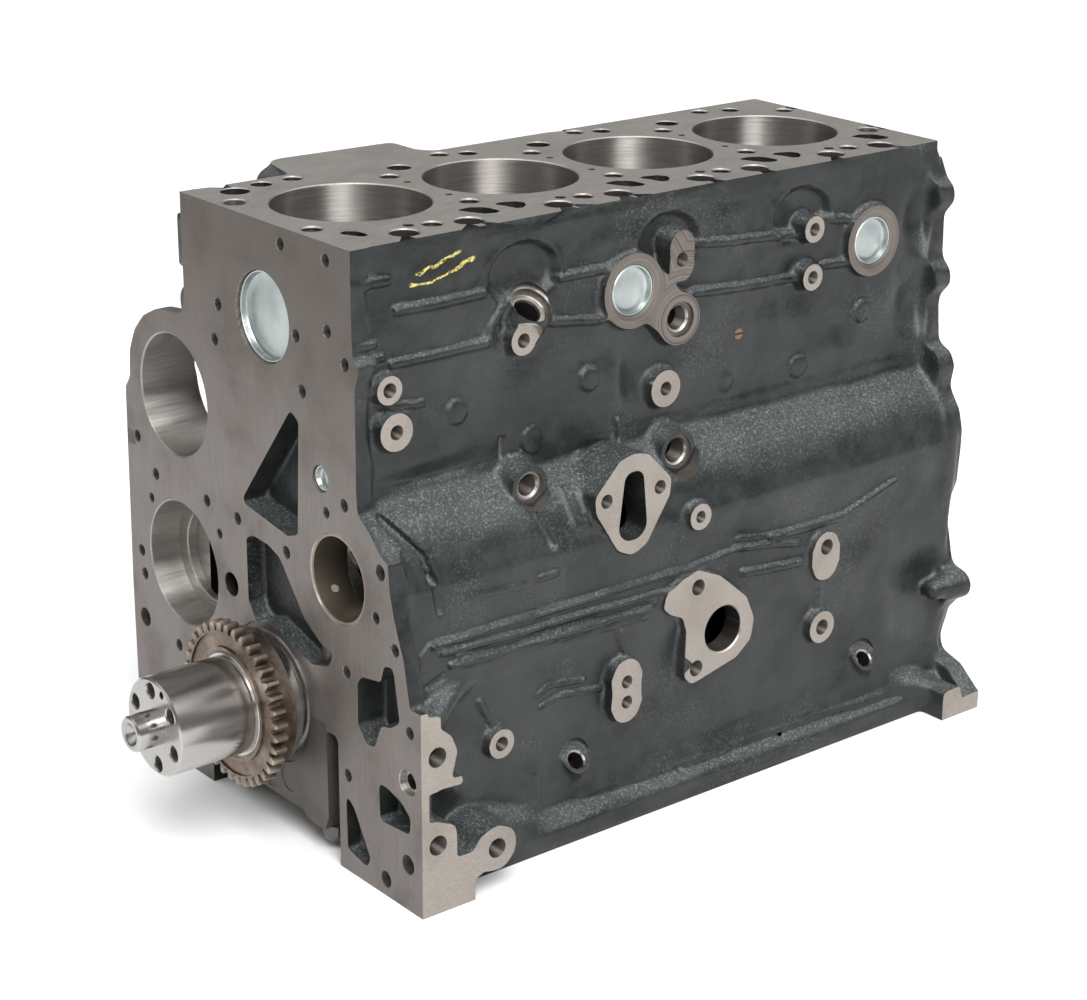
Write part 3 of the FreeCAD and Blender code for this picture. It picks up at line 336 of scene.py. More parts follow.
def rib(pts, w, h, soft=1.6):
    d = None
    for (a, b) in zip(pts[:-1], pts[1:]):
        q = seg2(a[0], a[1], b[0], b[1])
        d = q if d is None else np.minimum(d, q)
    return h * (1 - step(w / 2 - soft * 0.5, w / 2 + soft, d))


def blob(cx, cz, rx, rz, h):
    return h * np.exp(-(((u - cx) / rx) ** 2 + ((v - cz) / rz) ** 2))


def disc(cx, cz, r, h, soft=1.6):
    return h * (1 - step(r - soft, r + soft * 0.3, np.sqrt((u - cx) ** 2 + (v - cz) ** 2)))


def waves(seed, scale, n=10):
    g = np.random.default_rng(seed)
    out = np.zeros(np.broadcast(u, v).shape, np.float32)
    for i in range(n):
        a = g.uniform(0, 2 * math.pi)
        k = 2 * math.pi / (scale * g.uniform(0.6, 1.7))
        out += np.sin(k * (u * math.cos(a) + v * math.sin(a)) + g.uniform(0, 6.28))
    return out / math.sqrt(n)


upper = np.zeros(np.broadcast(u, v).shape, np.float32)
# bulges round the bores, hollows between, and the scooped arcs below the deck
for xb in (137.0, 262.0, 388.0):
    sc = 1 - step(0.70, 1.04, np.sqrt(((u - xb) / 31.0) ** 2 + ((v - 296.0) / 24.0) ** 2))
    upper += -5.6 * sc * step(270.0, 296.0, v)
    upper += blob(xb, 300.0, 22.0, 12.0, -3.2)
    upper += blob(xb, 252.0, 19.0, 30.0, -3.6)
    arc = np.abs(np.sqrt(((u - xb) / 31.0) ** 2 + ((v - 296.0) / 23.0) ** 2) - 1.0)
    upper += np.where(v > 292, 1.8 * np.exp(-(arc / 0.10) ** 2), 0)
for xb in BORES:
    upper += blob(xb, 262.0, 40.0, 70.0, 1.3)
upper += blob(20.0, 300.0, 12.0, 26.0, -1.0)
upper += blob(508.0, 286.0, 14.0, 24.0, -4.0) + blob(505.0, 205.0, 15.0, 22.0, -3.4)
for zz_, hh_ in ((302.0, 3.0), (246.0, 3.0), (186.0, 3.2)):
    upper += blob(511.0, zz_, 15.0, 11.0, hh_)
for zz_, hh_ in ((274.0, -3.0), (216.0, -3.4)):
    upper += blob(512.0, zz_, 15.0, 13.0, hh_)
upper += waves(3, 95.0) * 0.55 + waves(4, 38.0) * 0.30
for q, w, h in (
        ([(2, 309), (29, 309)], 5, 2.6), ([(35, 289), (103, 289)], 5, 3.0),
        ([(166, 289), (209, 289)], 5, 3.2), ([(283, 292.7), (365, 286.9)], 5, 3.2),
        ([(365, 285.5), (386, 284.0)], 5, 3.2), ([(2, 270.5), (17.5, 270.5)], 4, 2.4),
        ([(2, 261), (23, 261)], 4, 2.4), ([(30, 255.2), (107, 255.2)], 5, 3.0),
        ([(158, 259.9), (200, 254.7), (206, 255.6)], 5, 3.0),
        ([(284, 258.8), (367, 253.6), (385, 251.9)], 5, 3.2),
        ([(410, 291.8), (433, 288.4)], 5, 3.0), ([(410.6, 257.7), (433, 256.4)], 5, 3.0),
        ([(21, 228.8), (53.4, 225.1)], 4, 2.2), ([(217, 181), (217, 166)], 4, 3.0),
        ([(107, 258), (110, 266), (120, 277)], 4, 2.6), ([(120, 277), (131, 282)], 4, 2.2),
        ([(119.5, 186), (119.6, 158)], 3.5, -2.4), ([(404, 318), (372, 318)], 3, -1.2)):
    upper = upper + rib(q, w, h)
for (cx_, cz_, r_, h_) in ((80, 214, 9, 1.9), (143, 182, 10.0, 2.0), (192, 215, 9.0, 2.0),
                           (452, 217, 9.0, 2.2), (389, 186, 9.0, 2.0), (318, 188, 7, 1.2)):
    upper += disc(cx_, cz_, r_, h_)
    upper += blob(cx_, cz_, r_ * 1.7, r_ * 1.7, 0.5)
upper += blob(64, 187, 26, 9, 2.6) + blob(60, 172, 40, 8, -3.4) + blob(195, 232, 26, 12, -2.0) + blob(300, 220, 22, 16, -2.2)
upper += blob(215, 205, 10, 22, 2.4) + blob(285, 178, 14, 18, -3.0) + blob(360, 225, 30, 10, 1.8) + blob(430, 190, 22, 12, 2.4)
upper += blob(15, 222, 9, 22, -2.6) + blob(480, 245, 10, 28, 1.6)
upper += blob(62, 205, 30, 14, 1.6) + blob(95, 180, 30, 12, -1.4) + blob(330, 205, 34, 20, 1.4)
upper += blob(420, 215, 26, 26, -1.8) + blob(165, 200, 14, 30, -1.2) + blob(232, 215, 12, 26, -2.2)
upper *= step(150.0, 170.0, v)
upper = np.where(upper > 0, upper * (1 - step(304.0, 320.0, v)), upper * (1 - step(317.0, 325.0, v)))
upper *= step(3.0, 16.0, u) * 0.7 + 0.3

lower = np.zeros_like(upper)
for q, w, h in (
        ([(33, 73.7), (254, 73.7), (300, 77.0), (330, 73.0), (362, 66.8)], 3.4, 3.4), ([(41, 65.8), (249, 61.7)], 3.2, 3.0),
        ([(49, 55.6), (221, 52.2)], 3.2, 3.2), ([(48, 50.4), (218, 46.6)], 3.0, 2.4), ([(56, 60.6), (225, 57.2)], 4.0, -1.6),
        ([(123.5, 12), (132, 16.6), (165, 12.0)], 3.2, 2.2), ([(126, 3.0), (145.6, 6.2), (178.7, 1.6)], 3.2, 2.2),
        ([(190, 43.3), (200, 21)], 3.2, 2.8), ([(300, 84.0), (345, 78.0)], 3.2, 2.0), ([(333, 78.3), (372, 77.1), (401, 76.6), (458, 92.7)], 5, 3.4),
        ([(308, 56.7), (365, 51)], 5, 3.4), ([(73.5, 21.7), (79, 12), (85, 1.6)], 4, 2.6),
        ([(385, 21), (385, 8)], 4.5, 2.6), ([(120.6, 99.4), (136, 99.7)], 4, 2.6),
        ([(14, 156), (24, 142), (32, 132), (36, 118)], 5.5, -4.2),
        ([(119.6, 158), (125, 140), (134, 119)], 4.5, -3.0),
        ([(60, 100), (110, 97)], 4, 1.4), ([(36, 118), (40, 96)], 5, -2.2),
        ([(20, 62), (32, 73.5)], 5, 2.4), ([(30, 44), (47.7, 50.5), (174.5, 48.5)], 3.5, -1.6),
        ([(161, -77), (250, -79)], 4, -2.0), ([(250, -79), (470, -82)], 3.5, -1.6)):
    lower = lower + rib(q, w, h)
for xx, zz, hh, ww in ((153, 138, 1.7, 3.4), (158, 136, 1.7, 3.4), (163, 135, 1.6, 3.4), (168, 134, 1.4, 3.4), (173, 132, 1.1, 3.4)):
    lower = lower + rib([(xx, zz + 12), (xx + 2, zz - 12)], ww, hh)
lower += blob(246.0, 112.0, 11.0, 18.0, -3.4) + blob(118.0, -46.0, 9.0, 9.0, 4.2) + blob(121.0, -58.0, 5.0, 9.0, 2.6)
lower += blob(150.0, 20.0, 40.0, 16.0, -1.6) + blob(60.0, 25.0, 18.0, 22.0, -2.0) + blob(60.0, 60.0, 20, 5, -1.0)
lower += blob(340.0, 10.0, 26.0, 34.0, -1.8) + blob(430.0, 30.0, 26.0, 30.0, 1.4) + blob(480.0, 20.0, 20.0, 40.0, -2.2)
lower += blob(350.0, 118.0, 60.0, 12.0, 1.2) + blob(505.0, 118.0, 14.0, 30.0, -3.0) + blob(500.0, 10.0, 16, 20, -3.0)
lower += blob(96.0, -66.0, 17.0, 13.0, -2.4) + blob(140.0, -70.0, 18.0, 9.0, -2.4) + blob(78.0, -44.0, 16.0, 13.0, -2.4)
lower += blob(48.0, 30.0, 20.0, 15.0, -3.0) + blob(120.0, 33.0, 46.0, 7.0, -2.4) + blob(232.0, -22.0, 26.0, 24.0, -3.0)
lower += blob(262.0, 30.0, 12.0, 34.0, -2.6) + blob(310.0, 95.0, 40.0, 8.0, -1.6) + blob(420.0, 60.0, 30.0, 16.0, -2.6)
lower += blob(300.0, -60.0, 60.0, 9.0, -2.6) + blob(410.0, -30.0, 26.0, 20.0, -2.6) + blob(455.0, -10.0, 14.0, 40.0, 1.8)
lower += blob(230.0, -40.0, 50.0, 14.0, 1.4) + blob(330.0, -52.0, 60.0, 12.0, -1.0)
lower += waves(8, 90.0) * 0.65 + waves(9, 34.0) * 0.32
lower *= 1 - step(150.0, 170.0, v)
lower *= step(-96.0, -84.0, v)
lower *= step(3.0, 18.0, u)
rel = (upper * 1.25 + lower * 1.15)[:, None, :]
G[sl] -= rel * (1 - step(-100.0, -88.0, y))

# end flange lips stand round the machined outline
put(px([(-178, -106), (-178, 46), (-165, 46), (-165, -106)], -8.0, 6.0, 1.0), 2)

# ---- bosses, camshaft side, left 2 mm proud for facing
UP_BOSS = [(24.2, 240.4, 9.5, UP_Y), (29.1, 211.6, 12.5, UP_Y), (131.5, 253.6, 10.0, UP_Y),
           (394.3, 287.7, 9.5, UP_Y), (394.4, 252.6, 9.5, UP_Y), (256.5, 196.5, 13.0, UP_Y),
           (226.0, 271.0, 26.0, UP_Y), (455.0, 270.0, 26.0, UP_Y),
           (268.0, 244.0, 18.0, UP_Y), (127.6, 156.7, 14.5, -124.0), (258.4, 153.3, 15.5, -124.0)]
for (bx_, bz_, br_, by_) in UP_BOSS:
    put(cyl(1, (bx_, bz_), br_, by_ - 2.0, -86.0, 0.6, 0.10 if br_ < 20 else 0.04), 4.5)
for zz in (281.0, 296.0):
    put(cyl(1, (268.5, zz), 10.5, UP_Y - 2.0, -96.0, 0.6, 0.08), 3)
put(bx(258.2, 278.8, UP_Y - 2.0, -96.0, 281.0, 296.0, 0.5), 3)
WEBP = rpoly([(234.0, 250.0), (262.0, 228.0), (280.0, 250.0), (250.0, 284.0)], 6)
put(py(WEBP, UP_Y - 2.0, -96.0, 0.5), 4)
put(py(FUEL, BOSS_Y - 2.0, -110.0, 0.5), 5)
put(py(PUMPF, BOSS_Y - 2.0, -128.0, 0.5), 4)
for (bx_, z0_, z1_, br_) in ((196.6, -13.5, 9.0, 12.5), (386.4, 46.0, 58.0, 12.5)):
    put(cyl(1, (bx_, z0_), br_, BOSS_Y - 2.0, -130.0, 0.5, 0.06), 4)
    put(cyl(1, (bx_, z1_), br_, BOSS_Y - 2.0, -130.0, 0.5, 0.06), 4)
    put(bx(bx_ - br_ - 0.7, bx_ + br_ + 0.7, BOSS_Y - 2.0, -130.0, z0_, z1_, 0.5), 4)
for (bx_, bz_, br_) in ((385.6, -4.0, 12.2), (87.1, -10.3, 10.4), (261.4, 111.2, 9.5)):
    put(cyl(1, (bx_, bz_), br_, BOSS_Y - 2.0, -126.0, 0.6, 0.08), 4)
# angled port boss beside the first cylinder and the two low angled bosses
D1 = np.array([0.0, -0.62, 0.78])
A1 = np.array([141.0, -108.0, 275.8])
put(cap(A1 - D1 * 34.0, A1 - D1 * 8.0, 16.0, 16.0), 5)
put(cap(A1 - D1 * 12.0, A1 - D1 * 11.0, 16.5, 16.5), 3)
for (xx, zz) in ((436.0, -49.0), (155.0, -49.0)):
    put(cap((xx, -132.0, zz - 4.0), (xx, -132.0 - 0.75 * 15, zz - 4.0 + 0.66 * 15), 10.5, 10.0), 6)
# feet
put(py(PAD_UP, PAD_Y - 2.0, -128.0, 0.5), 3)
put(py(PAD_LO, PAD_Y - 2.0, -128.0, 0.5), 3)
put(py(PAD_RR, PAD_Y - 2.0, -128.0, 0.5), 4)
put(cap((22.0, -150.0, 20.0), (60.0, -136.0, 40.0), 9.0, 6.0), 12)
put(cap((22.0, -150.0, 0.0), (50.0, -136.0, -34.0), 8.0, 5.0), 12)
put(cap((64.0, -150.0, -70.0), (110.0, -138.0, -80.0), 10.0, 8.0), 14)
put(cap((505.0, -146.0, -4.0), (531.0, -150.0, -4.0), 8.0, 9.0), 9)
put(cap((490.0, -146.0, -80.0), (470.0, -138.0, -76.0), 10.0, 7.0), 10)
# hollow behind the front foot
put(cap((20.0, -176.0, -23.0), (44.0, -160.0, -26.0), 8.5, 7.0), 5, cut=True)
put(cap((38.0, -160.0, -38.0), (60.0, -152.0, -36.0), 8.0, 6.0), 7, cut=True)

# ---- hollows: bays and front pockets
for (a, b) in BAYS:
    put(px(BAY, a, b, 8.0), 5, cut=True)
    put(cyl(0, CAM, 42.0, a, b, 6.0), 5, cut=True)
for (P, dep) in POCKETS:
    put(px(P, -20.0, dep, 3.0), 2.0, cut=True)

# --------------------------------------------------------------- field to mesh
import openvdb as vdb


def grid_mesh(name):
    g = vdb.FloatGrid()
    g.background = 3.0
    A = np.clip(G / H, -3.0, 3.0).astype(np.float32)
    # shut the field at its own walls
    A[0], A[-1], A[:, 0], A[:, -1], A[:, :, 0], A[:, :, -1] = [np.maximum(q, 0.5) for q in (
        A[0], A[-1], A[:, 0], A[:, -1], A[:, :, 0], A[:, :, -1])]
    g.copyFromArray(A, tolerance=0.0)
    p, t, q = g.convertToPolygons(isovalue=0.0, adaptivity=0.0)
    me = bpy.data.meshes.new(name)
    me.vertices.add(len(p))
    me.vertices.foreach_set("co", (p * H + LO).astype(np.float32).ravel())
    me.loops.add(q.size)
    me.loops.foreach_set("vertex_index", q[:, ::-1].astype(np.int32).ravel())
    me.polygons.add(len(q))
    me.polygons.foreach_set("loop_start", np.arange(0, q.size, 4, dtype=np.int32))
    me.update(calc_edges=True)
    me.validate()
    return me


def baked(o, name):
    dg = bpy.context.evaluated_depsgraph_get()
    return bpy.data.meshes.new_from_object(o.evaluated_get(dg), depsgraph=dg, preserve_all_data_layers=True)


me = grid_mesh("casting")
print("casting field", len(me.polygons))
cast = bpy.data.objects.new("block_casting", me)
bpy.context.scene.collection.objects.link(cast)
md = cast.modifiers.new("d", "DECIMATE")
TARGET = 95000
md.ratio = min(1.0, TARGET / (2.0 * len(me.polygons)))
new = baked(cast, "casting")
cast.modifiers.clear()
cast.data = new
bpy.data.meshes.remove(me)

# -------------------------------------------------------------------- cutters
MATS = [bpy.data.materials.new(n) for n in (
    "cast_paint", "deck_ground", "front_milled", "boss_faced", "pad_faced", "bore_honed",
    "hole_steel", "flat_machined", "cast_raw")]
CUT = bpy.data.collections.new("cutters")
bpy.context.scene.collection.children.link(CUT)


def build(name, verts, faces, idx, col=None, mats=MATS, smooth=False):
    me = bpy.data.meshes.new(name)
    me.from_pydata([tuple(map(float, q)) for q in verts], [], faces)
    for m in mats:
        me.materials.append(m)
    if isinstance(idx, int):
        idx = [idx] * len(faces)
    me.polygons.foreach_set("material_index", idx)
    bm = bmesh.new()
    bm.from_mesh(me)
    bmesh.ops.recalc_face_normals(bm, faces=bm.faces)
    bm.to_mesh(me)
    bm.free()
    o = bpy.data.objects.new(name, me)
    if col is not None:
        col.objects.link(o)
    return o


def lathe_data(prof, o, d, n, closed=False):
    """Turned solid: prof = (t, r, material) along axis d from point o."""
    o, d = np.array(o, float), np.array(d, float)
    d = d / np.linalg.norm(d)
    a = np.array([0, 0, 1.0]) if abs(d[2]) < 0.9 else np.array([1.0, 0, 0])
    e1 = np.cross(d, a)
    e1 /= np.linalg.norm(e1)
    e2 = np.cross(d, e1)
    V, F, I, rings = [], [], [], []
    for (t, r, *_) in prof:
        if r < 1e-6:
            rings.append([len(V)])
            V.append(o + d * t)
        else:
            rings.append(list(range(len(V), len(V) + n)))
            for k in range(n):
                q = 2 * math.pi * k / n
                V.append(o + d * t + (e1 * math.cos(q) + e2 * math.sin(q)) * r)
    m = len(prof)
    for i in range(m if closed else m - 1):
        A, B = rings[i], rings[(i + 1) % m]
        c = prof[i][2] if len(prof[i]) > 2 else 0
        for k in range(n):
            k2 = (k + 1) % n
            if len(A) == 1 and len(B) == 1:
                continue
            if len(A) == 1:
                F.append((A[0], B[k2], B[k]))
            elif len(B) == 1:
                F.append((A[k], A[k2], B[0]))
            else:
                F.append((A[k], A[k2], B[k2], B[k]))
            I.append(c)
    return V, F, I


def lathe(name, prof, o, d, n, col=None, closed=False, mats=MATS):
    V, F, I = lathe_data(prof, o, d, n, closed)
    return build(name, V, F, I, col, mats)


def prism(name, P, axis, a, b, side, end, col=CUT, mats=MATS):
    n = len(P)
    V = []
    for t in (a, b):
        for (p, q) in P:
            c = [p, q]
            c.insert(axis, t)
            V.append(c)
    F = [tuple(range(n)), tuple(range(2 * n - 1, n - 1, -1))]
    I = [end, end]
    for k in range(n):
        F.append((k, (k + 1) % n, n + (k + 1) % n, n + k))
        I.append(side)
    return build(name, V, F, I, col, mats)


def rect(a, b, c, d):
    return [(a, c), (b, c), (b, d), (a, d)]


def slab(name, axis, t0, t1, a0, a1, b0, b1, m, pitch=16.0):
    """Box cutter whose two large faces are split into small squares."""
    na, nb = max(1, int((a1 - a0) / pitch)), max(1, int((b1 - b0) / pitch))
    V, F = [], []
    for t in (t0, t1):
        for i in range(na + 1):
            for j in range(nb + 1):
                c = [a0 + (a1 - a0) * i / na + 0.37 * math.sin(7.1 * j + i) * (0 < i < na),
                     b0 + (b1 - b0) * j / nb + 0.37 * math.cos(5.3 * i + j) * (0 < j < nb)]
                c.insert(axis, t)
                V.append(c)
    K = (na + 1) * (nb + 1)
    g = lambda i, j, L: L * K + i * (nb + 1) + j
    for L in (0, 1):
        for i in range(na):
            for j in range(nb):
                F.append((g(i, j, L), g(i + 1, j, L), g(i + 1, j + 1, L), g(i, j + 1, L)))
    for i in range(na):
        for j in (0, nb):
            F.append((g(i, j, 0), g(i + 1, j, 0), g(i + 1, j, 1), g(i, j, 1)))
    for j in range(nb):
        for i in (0, na):
            F.append((g(i, j, 0), g(i, j + 1, 0), g(i, j + 1, 1), g(i, j, 1)))
    return build(name, V, F, m, CUT)


# planes
slab("p_deck", 2, DECK_Z, DECK_Z + 30, -30, 560, -220, 220, M_DECK)
slab("p_bot", 2, BOT_Z - 30, BOT_Z, -30, 560, -220, 220, M_FLAT)
slab("p_front", 0, -30, 0.0, -220, 220, -130, 363, M_FRONT)
slab("p_rear", 0, REAR_X, REAR_X + 30, -220, 220, -130, 363, M_FLAT)
slab("p_far", 1, 183.9, 200.0, -30, 560, -130, 363, M_CAST, 60.0)


def circle(x, z, r, n=40):
    return [(x + r * math.cos(2 * math.pi * k / n), z + r * math.sin(2 * math.pi * k / n)) for k in range(n)]


def offs(P, g):
    """Outline moved outwards by g."""
    P = np.array(P)
    n = len(P)
    A = 0.5 * sum(P[i][0] * P[(i + 1) % n][1] - P[(i + 1) % n][0] * P[i][1] for i in range(n))
    s = 1 if A > 0 else -1
    out = []
    for i in range(n):
        e0 = P[i] - P[i - 1]
        e1 = P[(i + 1) % n] - P[i]
        l0, l1 = np.linalg.norm(e0), np.linalg.norm(e1)
        if l0 < 1e-6 or l1 < 1e-6:
            continue
        n0 = np.array([e0[1], -e0[0]]) / l0
        n1 = np.array([e1[1], -e1[0]]) / l1
        m = n0 + n1
        L = np.linalg.norm(m)
        if L < 1e-6:
            continue
        m /= L
        out.append(tuple(P[i] + m * s * g / max(0.5, float(m @ n0))))
    return out


# faced bosses
for i, (bx_, bz_, br_, by_) in enumerate(UP_BOSS):
    prism("f_up%d" % i, circle(bx_, bz_, br_ + (0.8 if by_ < -115 else 3.0), 56), 1, by_ - (14.0 if by_ < -115 else 12.0), by_,
          M_PAD if br_ < 14 else M_BOSS, M_CAST if by_ < -115 else M_PAD if br_ < 14 else M_BOSS)
prism("f_web", offs(WEBP, 1.0), 1, UP_Y - 12.0, UP_Y, M_BOSS, M_BOSS)
prism("f_slot", rpoly([(255.5, 267.0), (281.5, 267.0), (281.5, 310.0), (255.5, 310.0)], 12), 1,
      UP_Y - 12.0, UP_Y, M_BOSS, M_BOSS)
prism("f_fuel", offs(FUEL, 3.0), 1, BOSS_Y - 12.0, BOSS_Y, M_PAD, M_PAD)
prism("f_pumpf", offs(PUMPF, 2.5), 1, BOSS_Y - 12.0, BOSS_Y, M_PAD, M_PAD)
for (bx_, z0_, z1_, br_) in ((196.6, -13.5, 9.0, 12.5), (386.4, 46.0, 58.0, 12.5)):
    r_ = br_ + 2.5
    prism("f_s%d" % bx_, rpoly([(bx_ - r_, z0_ - r_), (bx_ + r_, z0_ - r_), (bx_ + r_, z1_ + r_),
                                (bx_ - r_, z1_ + r_)], r_ * 0.98, 8), 1, BOSS_Y - 12.0, BOSS_Y, M_PAD, M_PAD)
for (bx_, bz_, br_) in ((385.6, -4.0, 12.2), (87.1, -10.3, 10.4), (261.4, 111.2, 9.5)):
    prism("f_b%d" % bx_, circle(bx_, bz_, br_ + 2.5), 1, BOSS_Y - 12.0, BOSS_Y, M_PAD, M_PAD)
slab("f_pads", 1, PAD_Y - 20.0, PAD_Y, -20, 560, -130, 60, M_PAD)

# cylinder bores
for i, xb in enumerate(BORES):
    lathe("bore%d" % i, [(0, 0, M_BORE), (0, 54.0, M_BORE), (228.2, 54.0, M_DECK), (230.4, 56.2, M_DECK), (240, 56.2, M_DECK),
                         (240, 0)], (xb, 0, 104.0), (0, 0, 1), 128, CUT)
# main tunnel, cam tunnel, housings
lathe("tunnel", [(0, 0, M_FLAT), (0, 44.5, M_FLAT), (560, 44.5, M_FLAT), (560, 0)], (-10, 0, 0), (1, 0, 0), 96, CUT)
lathe("hubroom", [(0, 0, M_FRONT), (0, 50.0, M_FRONT), (11.5, 50.0, M_FRONT), (11.5, 0)], (-10, 0, 0), (1, 0, 0), 96, CUT)
lathe("sealroom", [(0, 0, M_FLAT), (0, 62.0, M_FLAT), (11.5, 62.0, M_FLAT), (11.5, 0)], (REAR_X - 1.0, 0, 0), (1, 0, 0), 96, CUT)
lathe("camtun", [(0, 0, M_BORE), (0, 31.4, M_BORE), (10.0, 31.4, M_BORE), (10.9, 30.5, M_BORE), (560, 30.5, M_BORE), (560, 0)],
      (-10, CAM[0], CAM[1]), (1, 0, 0), 80, CUT)
lathe("idler", [(0, 0, M_BORE), (0, 46.4, M_BORE), (10.0, 46.4, M_BORE), (10.8, 45.6, M_BORE), (34.0, 45.6, M_BORE),
                (34.0, 34.8, M_BORE), (34.8, 34.0, M_BORE), (41.0, 34.0, M_BORE), (41.0, 0)],
      (-10, IDL[0], IDL[1]), (1, 0, 0), 96, CUT)
lathe("pump", [(0, 0, M_BORE), (0, 44.7, M_BORE), (10.0, 44.7, M_BORE), (11.0, 43.7, M_BORE), (56.0, 43.7, M_RAW), (56.0, 0)],
      (-10, PMP[0], PMP[1]), (1, 0, 0), 96, CUT)
prism("pumpwin", rpoly([(20.0, 60.0), (60.0, 60.0), (60.0, 110.0), (20.0, 110.0)], 6), 2, 168.0, 202.0, M_RAW, M_RAW)
# plug seats
lathe("fplug", [(0, 0, M_BOSS), (0, 31.7, M_BOSS), (10.0, 31.7, M_BOSS), (10.7, 31.0, M_BOSS), (22.0, 31.0, M_BOSS),
                (22.0, 26.0, M_RAW), (30, 26.0, M_RAW), (30, 0)], (-10, -4.0, 268.0), (1, 0, 0), 80, CUT)
lathe("gplug", [(0, 0, M_BOSS), (0, 9.4, M_BOSS), (10.0, 9.4, M_BOSS), (10.4, 9.0, M_BOSS), (21.0, 9.0, M_BOSS), (21.0, 0)],
      (-10, -66.9, 174.2), (1, 0, 0), 40, CUT)
for i, (x_, z_) in enumerate(((226.0, 271.0), (455.0, 270.0))):
    lathe("splug%d" % i, [(0, 0, M_BOSS), (0, 20.6, M_BOSS), (10.0, 20.6, M_BOSS), (11.6, 18.0, M_BOSS), (20.0, 18.0, M_BOSS),
                          (20.0, 15.0, M_RAW), (30.0, 15.0, M_RAW), (30, 0)], (x_, UP_Y - 10.0, z_), (0, 1, 0), 64, CUT)


def hole(name, o, d, r, depth, cham=0.7, thread=0.0, n=None, tip=True, m=M_HOLE, mc=None):
    """Drilled or tapped hole cutter, from 10 mm outside the face at o, along d."""
    n = n or ((20 if r < 6 else 32))
    mc = m if mc is None else mc
    d = np.array(d, float)
    P = [(-8.0, 0, m), (-8.0, r + cham, m), (0.0, r + cham, mc), (cham, r, m)]
    if thread:
        t = cham + thread * 0.3
        k = 0
        while t < min(depth - 2, 13.0):
            P.append((t, r - thread * 0.30, m))
            P.append((t + thread * 0.5, r + thread * 0.22, m))
            t += thread
        P.append((t, r, m))
    P.append((depth, r, m))
    P.append((depth + (r * 0.55 if tip else 0.0), 0.0, m))
    return lathe(name, P, o, d, n, CUT)


# deck holes
HEAD = []
for s in (-1, 1):
    for i in range(5):
        HEAD.append((13.0 + 125.0 * i, 45.3 * s))
    for xb in BORES:
        HEAD.append((xb + 7.2, 80.3 * s))
DOW = [(13.0, 45.3), (513.0, -45.3)]
for i, (x_, y_) in enumerate(HEAD):
    if (x_, y_) in DOW:
        lathe("hd%d" % i, [(-8, 0, M_HOLE), (-8, 9.4, M_HOLE), (0, 9.4, M_DECK), (0.5, 8.9, M_HOLE), (9.0, 8.9, M_HOLE),
                           (9.0, 6.9, M_HOLE), (60, 6.9, M_HOLE), (60, 0)], (x_, y_, DECK_Z), (0, 0, -1), 32, CUT)
    else:
        hole("hd%d" % i, (x_, y_, DECK_Z), (0, 0, -1), 6.9, 60.0, 0.9, 1.75, mc=M_DECK, n=28)
for i, x_ in enumerate((54.1, 105.3, 179.6, 230.9, 305.4, 356.2, 431.0, 482.0)):
    hole("pr%d" % i, (x_, -88.0, DECK_Z), (0, 0, -1), 9.9, 90.0, 0.9, 0, n=40, m=M_BORE, mc=M_DECK)
for i, (x_, y_) in enumerate(((67.0, -74.6), (192.0, -74.2), (317.6, -73.9), (443.0, -74.0))):
    hole("oil%d" % i, (x_, y_, DECK_Z), (0, 0, -1), 3.3, 30.0, 0.5)
for i, (x_, y_) in enumerate(((137.5, 23.8), (262.4, 23.8), (388.0, 24.0), (138.2, -22.8), (262.6, -22.6), (387.4, -23.4))):
    hole("wj%d" % i, (x_, y_, DECK_Z), (0, 0, -1), 2.2, 30.0, 0.4, n=16)
for i, (x_, y_, r_) in enumerate(((30.0, 71.8, 10.0), (55.3, 78.6, 7.4), (159.3, 63.4, 8.6), (225.3, 71.0, 6.8),
                                  (283.6, 63.5, 8.6), (350.7, 71.8, 6.8), (407.8, 63.0, 8.6), (480.0, 71.0, 6.8))):
    hole("cw%d" % i, (x_, y_, DECK_Z), (0, 0, -1), r_, 34.0, 0.6, m=M_RAW, mc=M_DECK)


E1, E2 = (0.779, -0.627), (0.627, 0.779)
DROP_A = [(-14.6, 0), (-6.4, 7.9), (2.7, 8.9), (7.3, 6.3), (14.6, -1.0), (11.8, -6.3), (4.6, -8.9), (-4.6, -5.3)]
DROP_B = [(-12, -1), (-8.4, 4.2), (1.6, 7.9), (8, 5.3), (9.5, -1), (8, -8.9), (3.5, -11.6), (-3.8, -5.3)]
DROP_F = [(-9.1, 2.6), (-5.5, 6.3), (1.8, 5.8), (7.3, 0.5), (9.6, -3.7), (6.4, -7.4), (-0.9, -4.7), (-7.3, -1.6)]


def drop(x, y, P):
    Q = [(x + p * E1[0] + q * E2[0], y + p * E1[1] + q * E2[1]) for (p, q) in P]
    return rpoly(Q[::-1], 2.6, 4)


for i, (x_, y_, P_) in enumerate(((126.6, -70.0, DROP_A), (154.6, -69.5, DROP_B), (252.2, -69.7, DROP_A), (280.8, -69.3, DROP_B),
                                  (376.6, -69.9, DROP_A), (405.2, -70.2, DROP_B), (495.0, -64.0, DROP_A), (27.0, -71.5, DROP_F))):
    prism("tear%d" % i, drop(x_, y_, P_), 2, DECK_Z - 26.0, DECK_Z + 8.0, M_RAW, M_RAW)

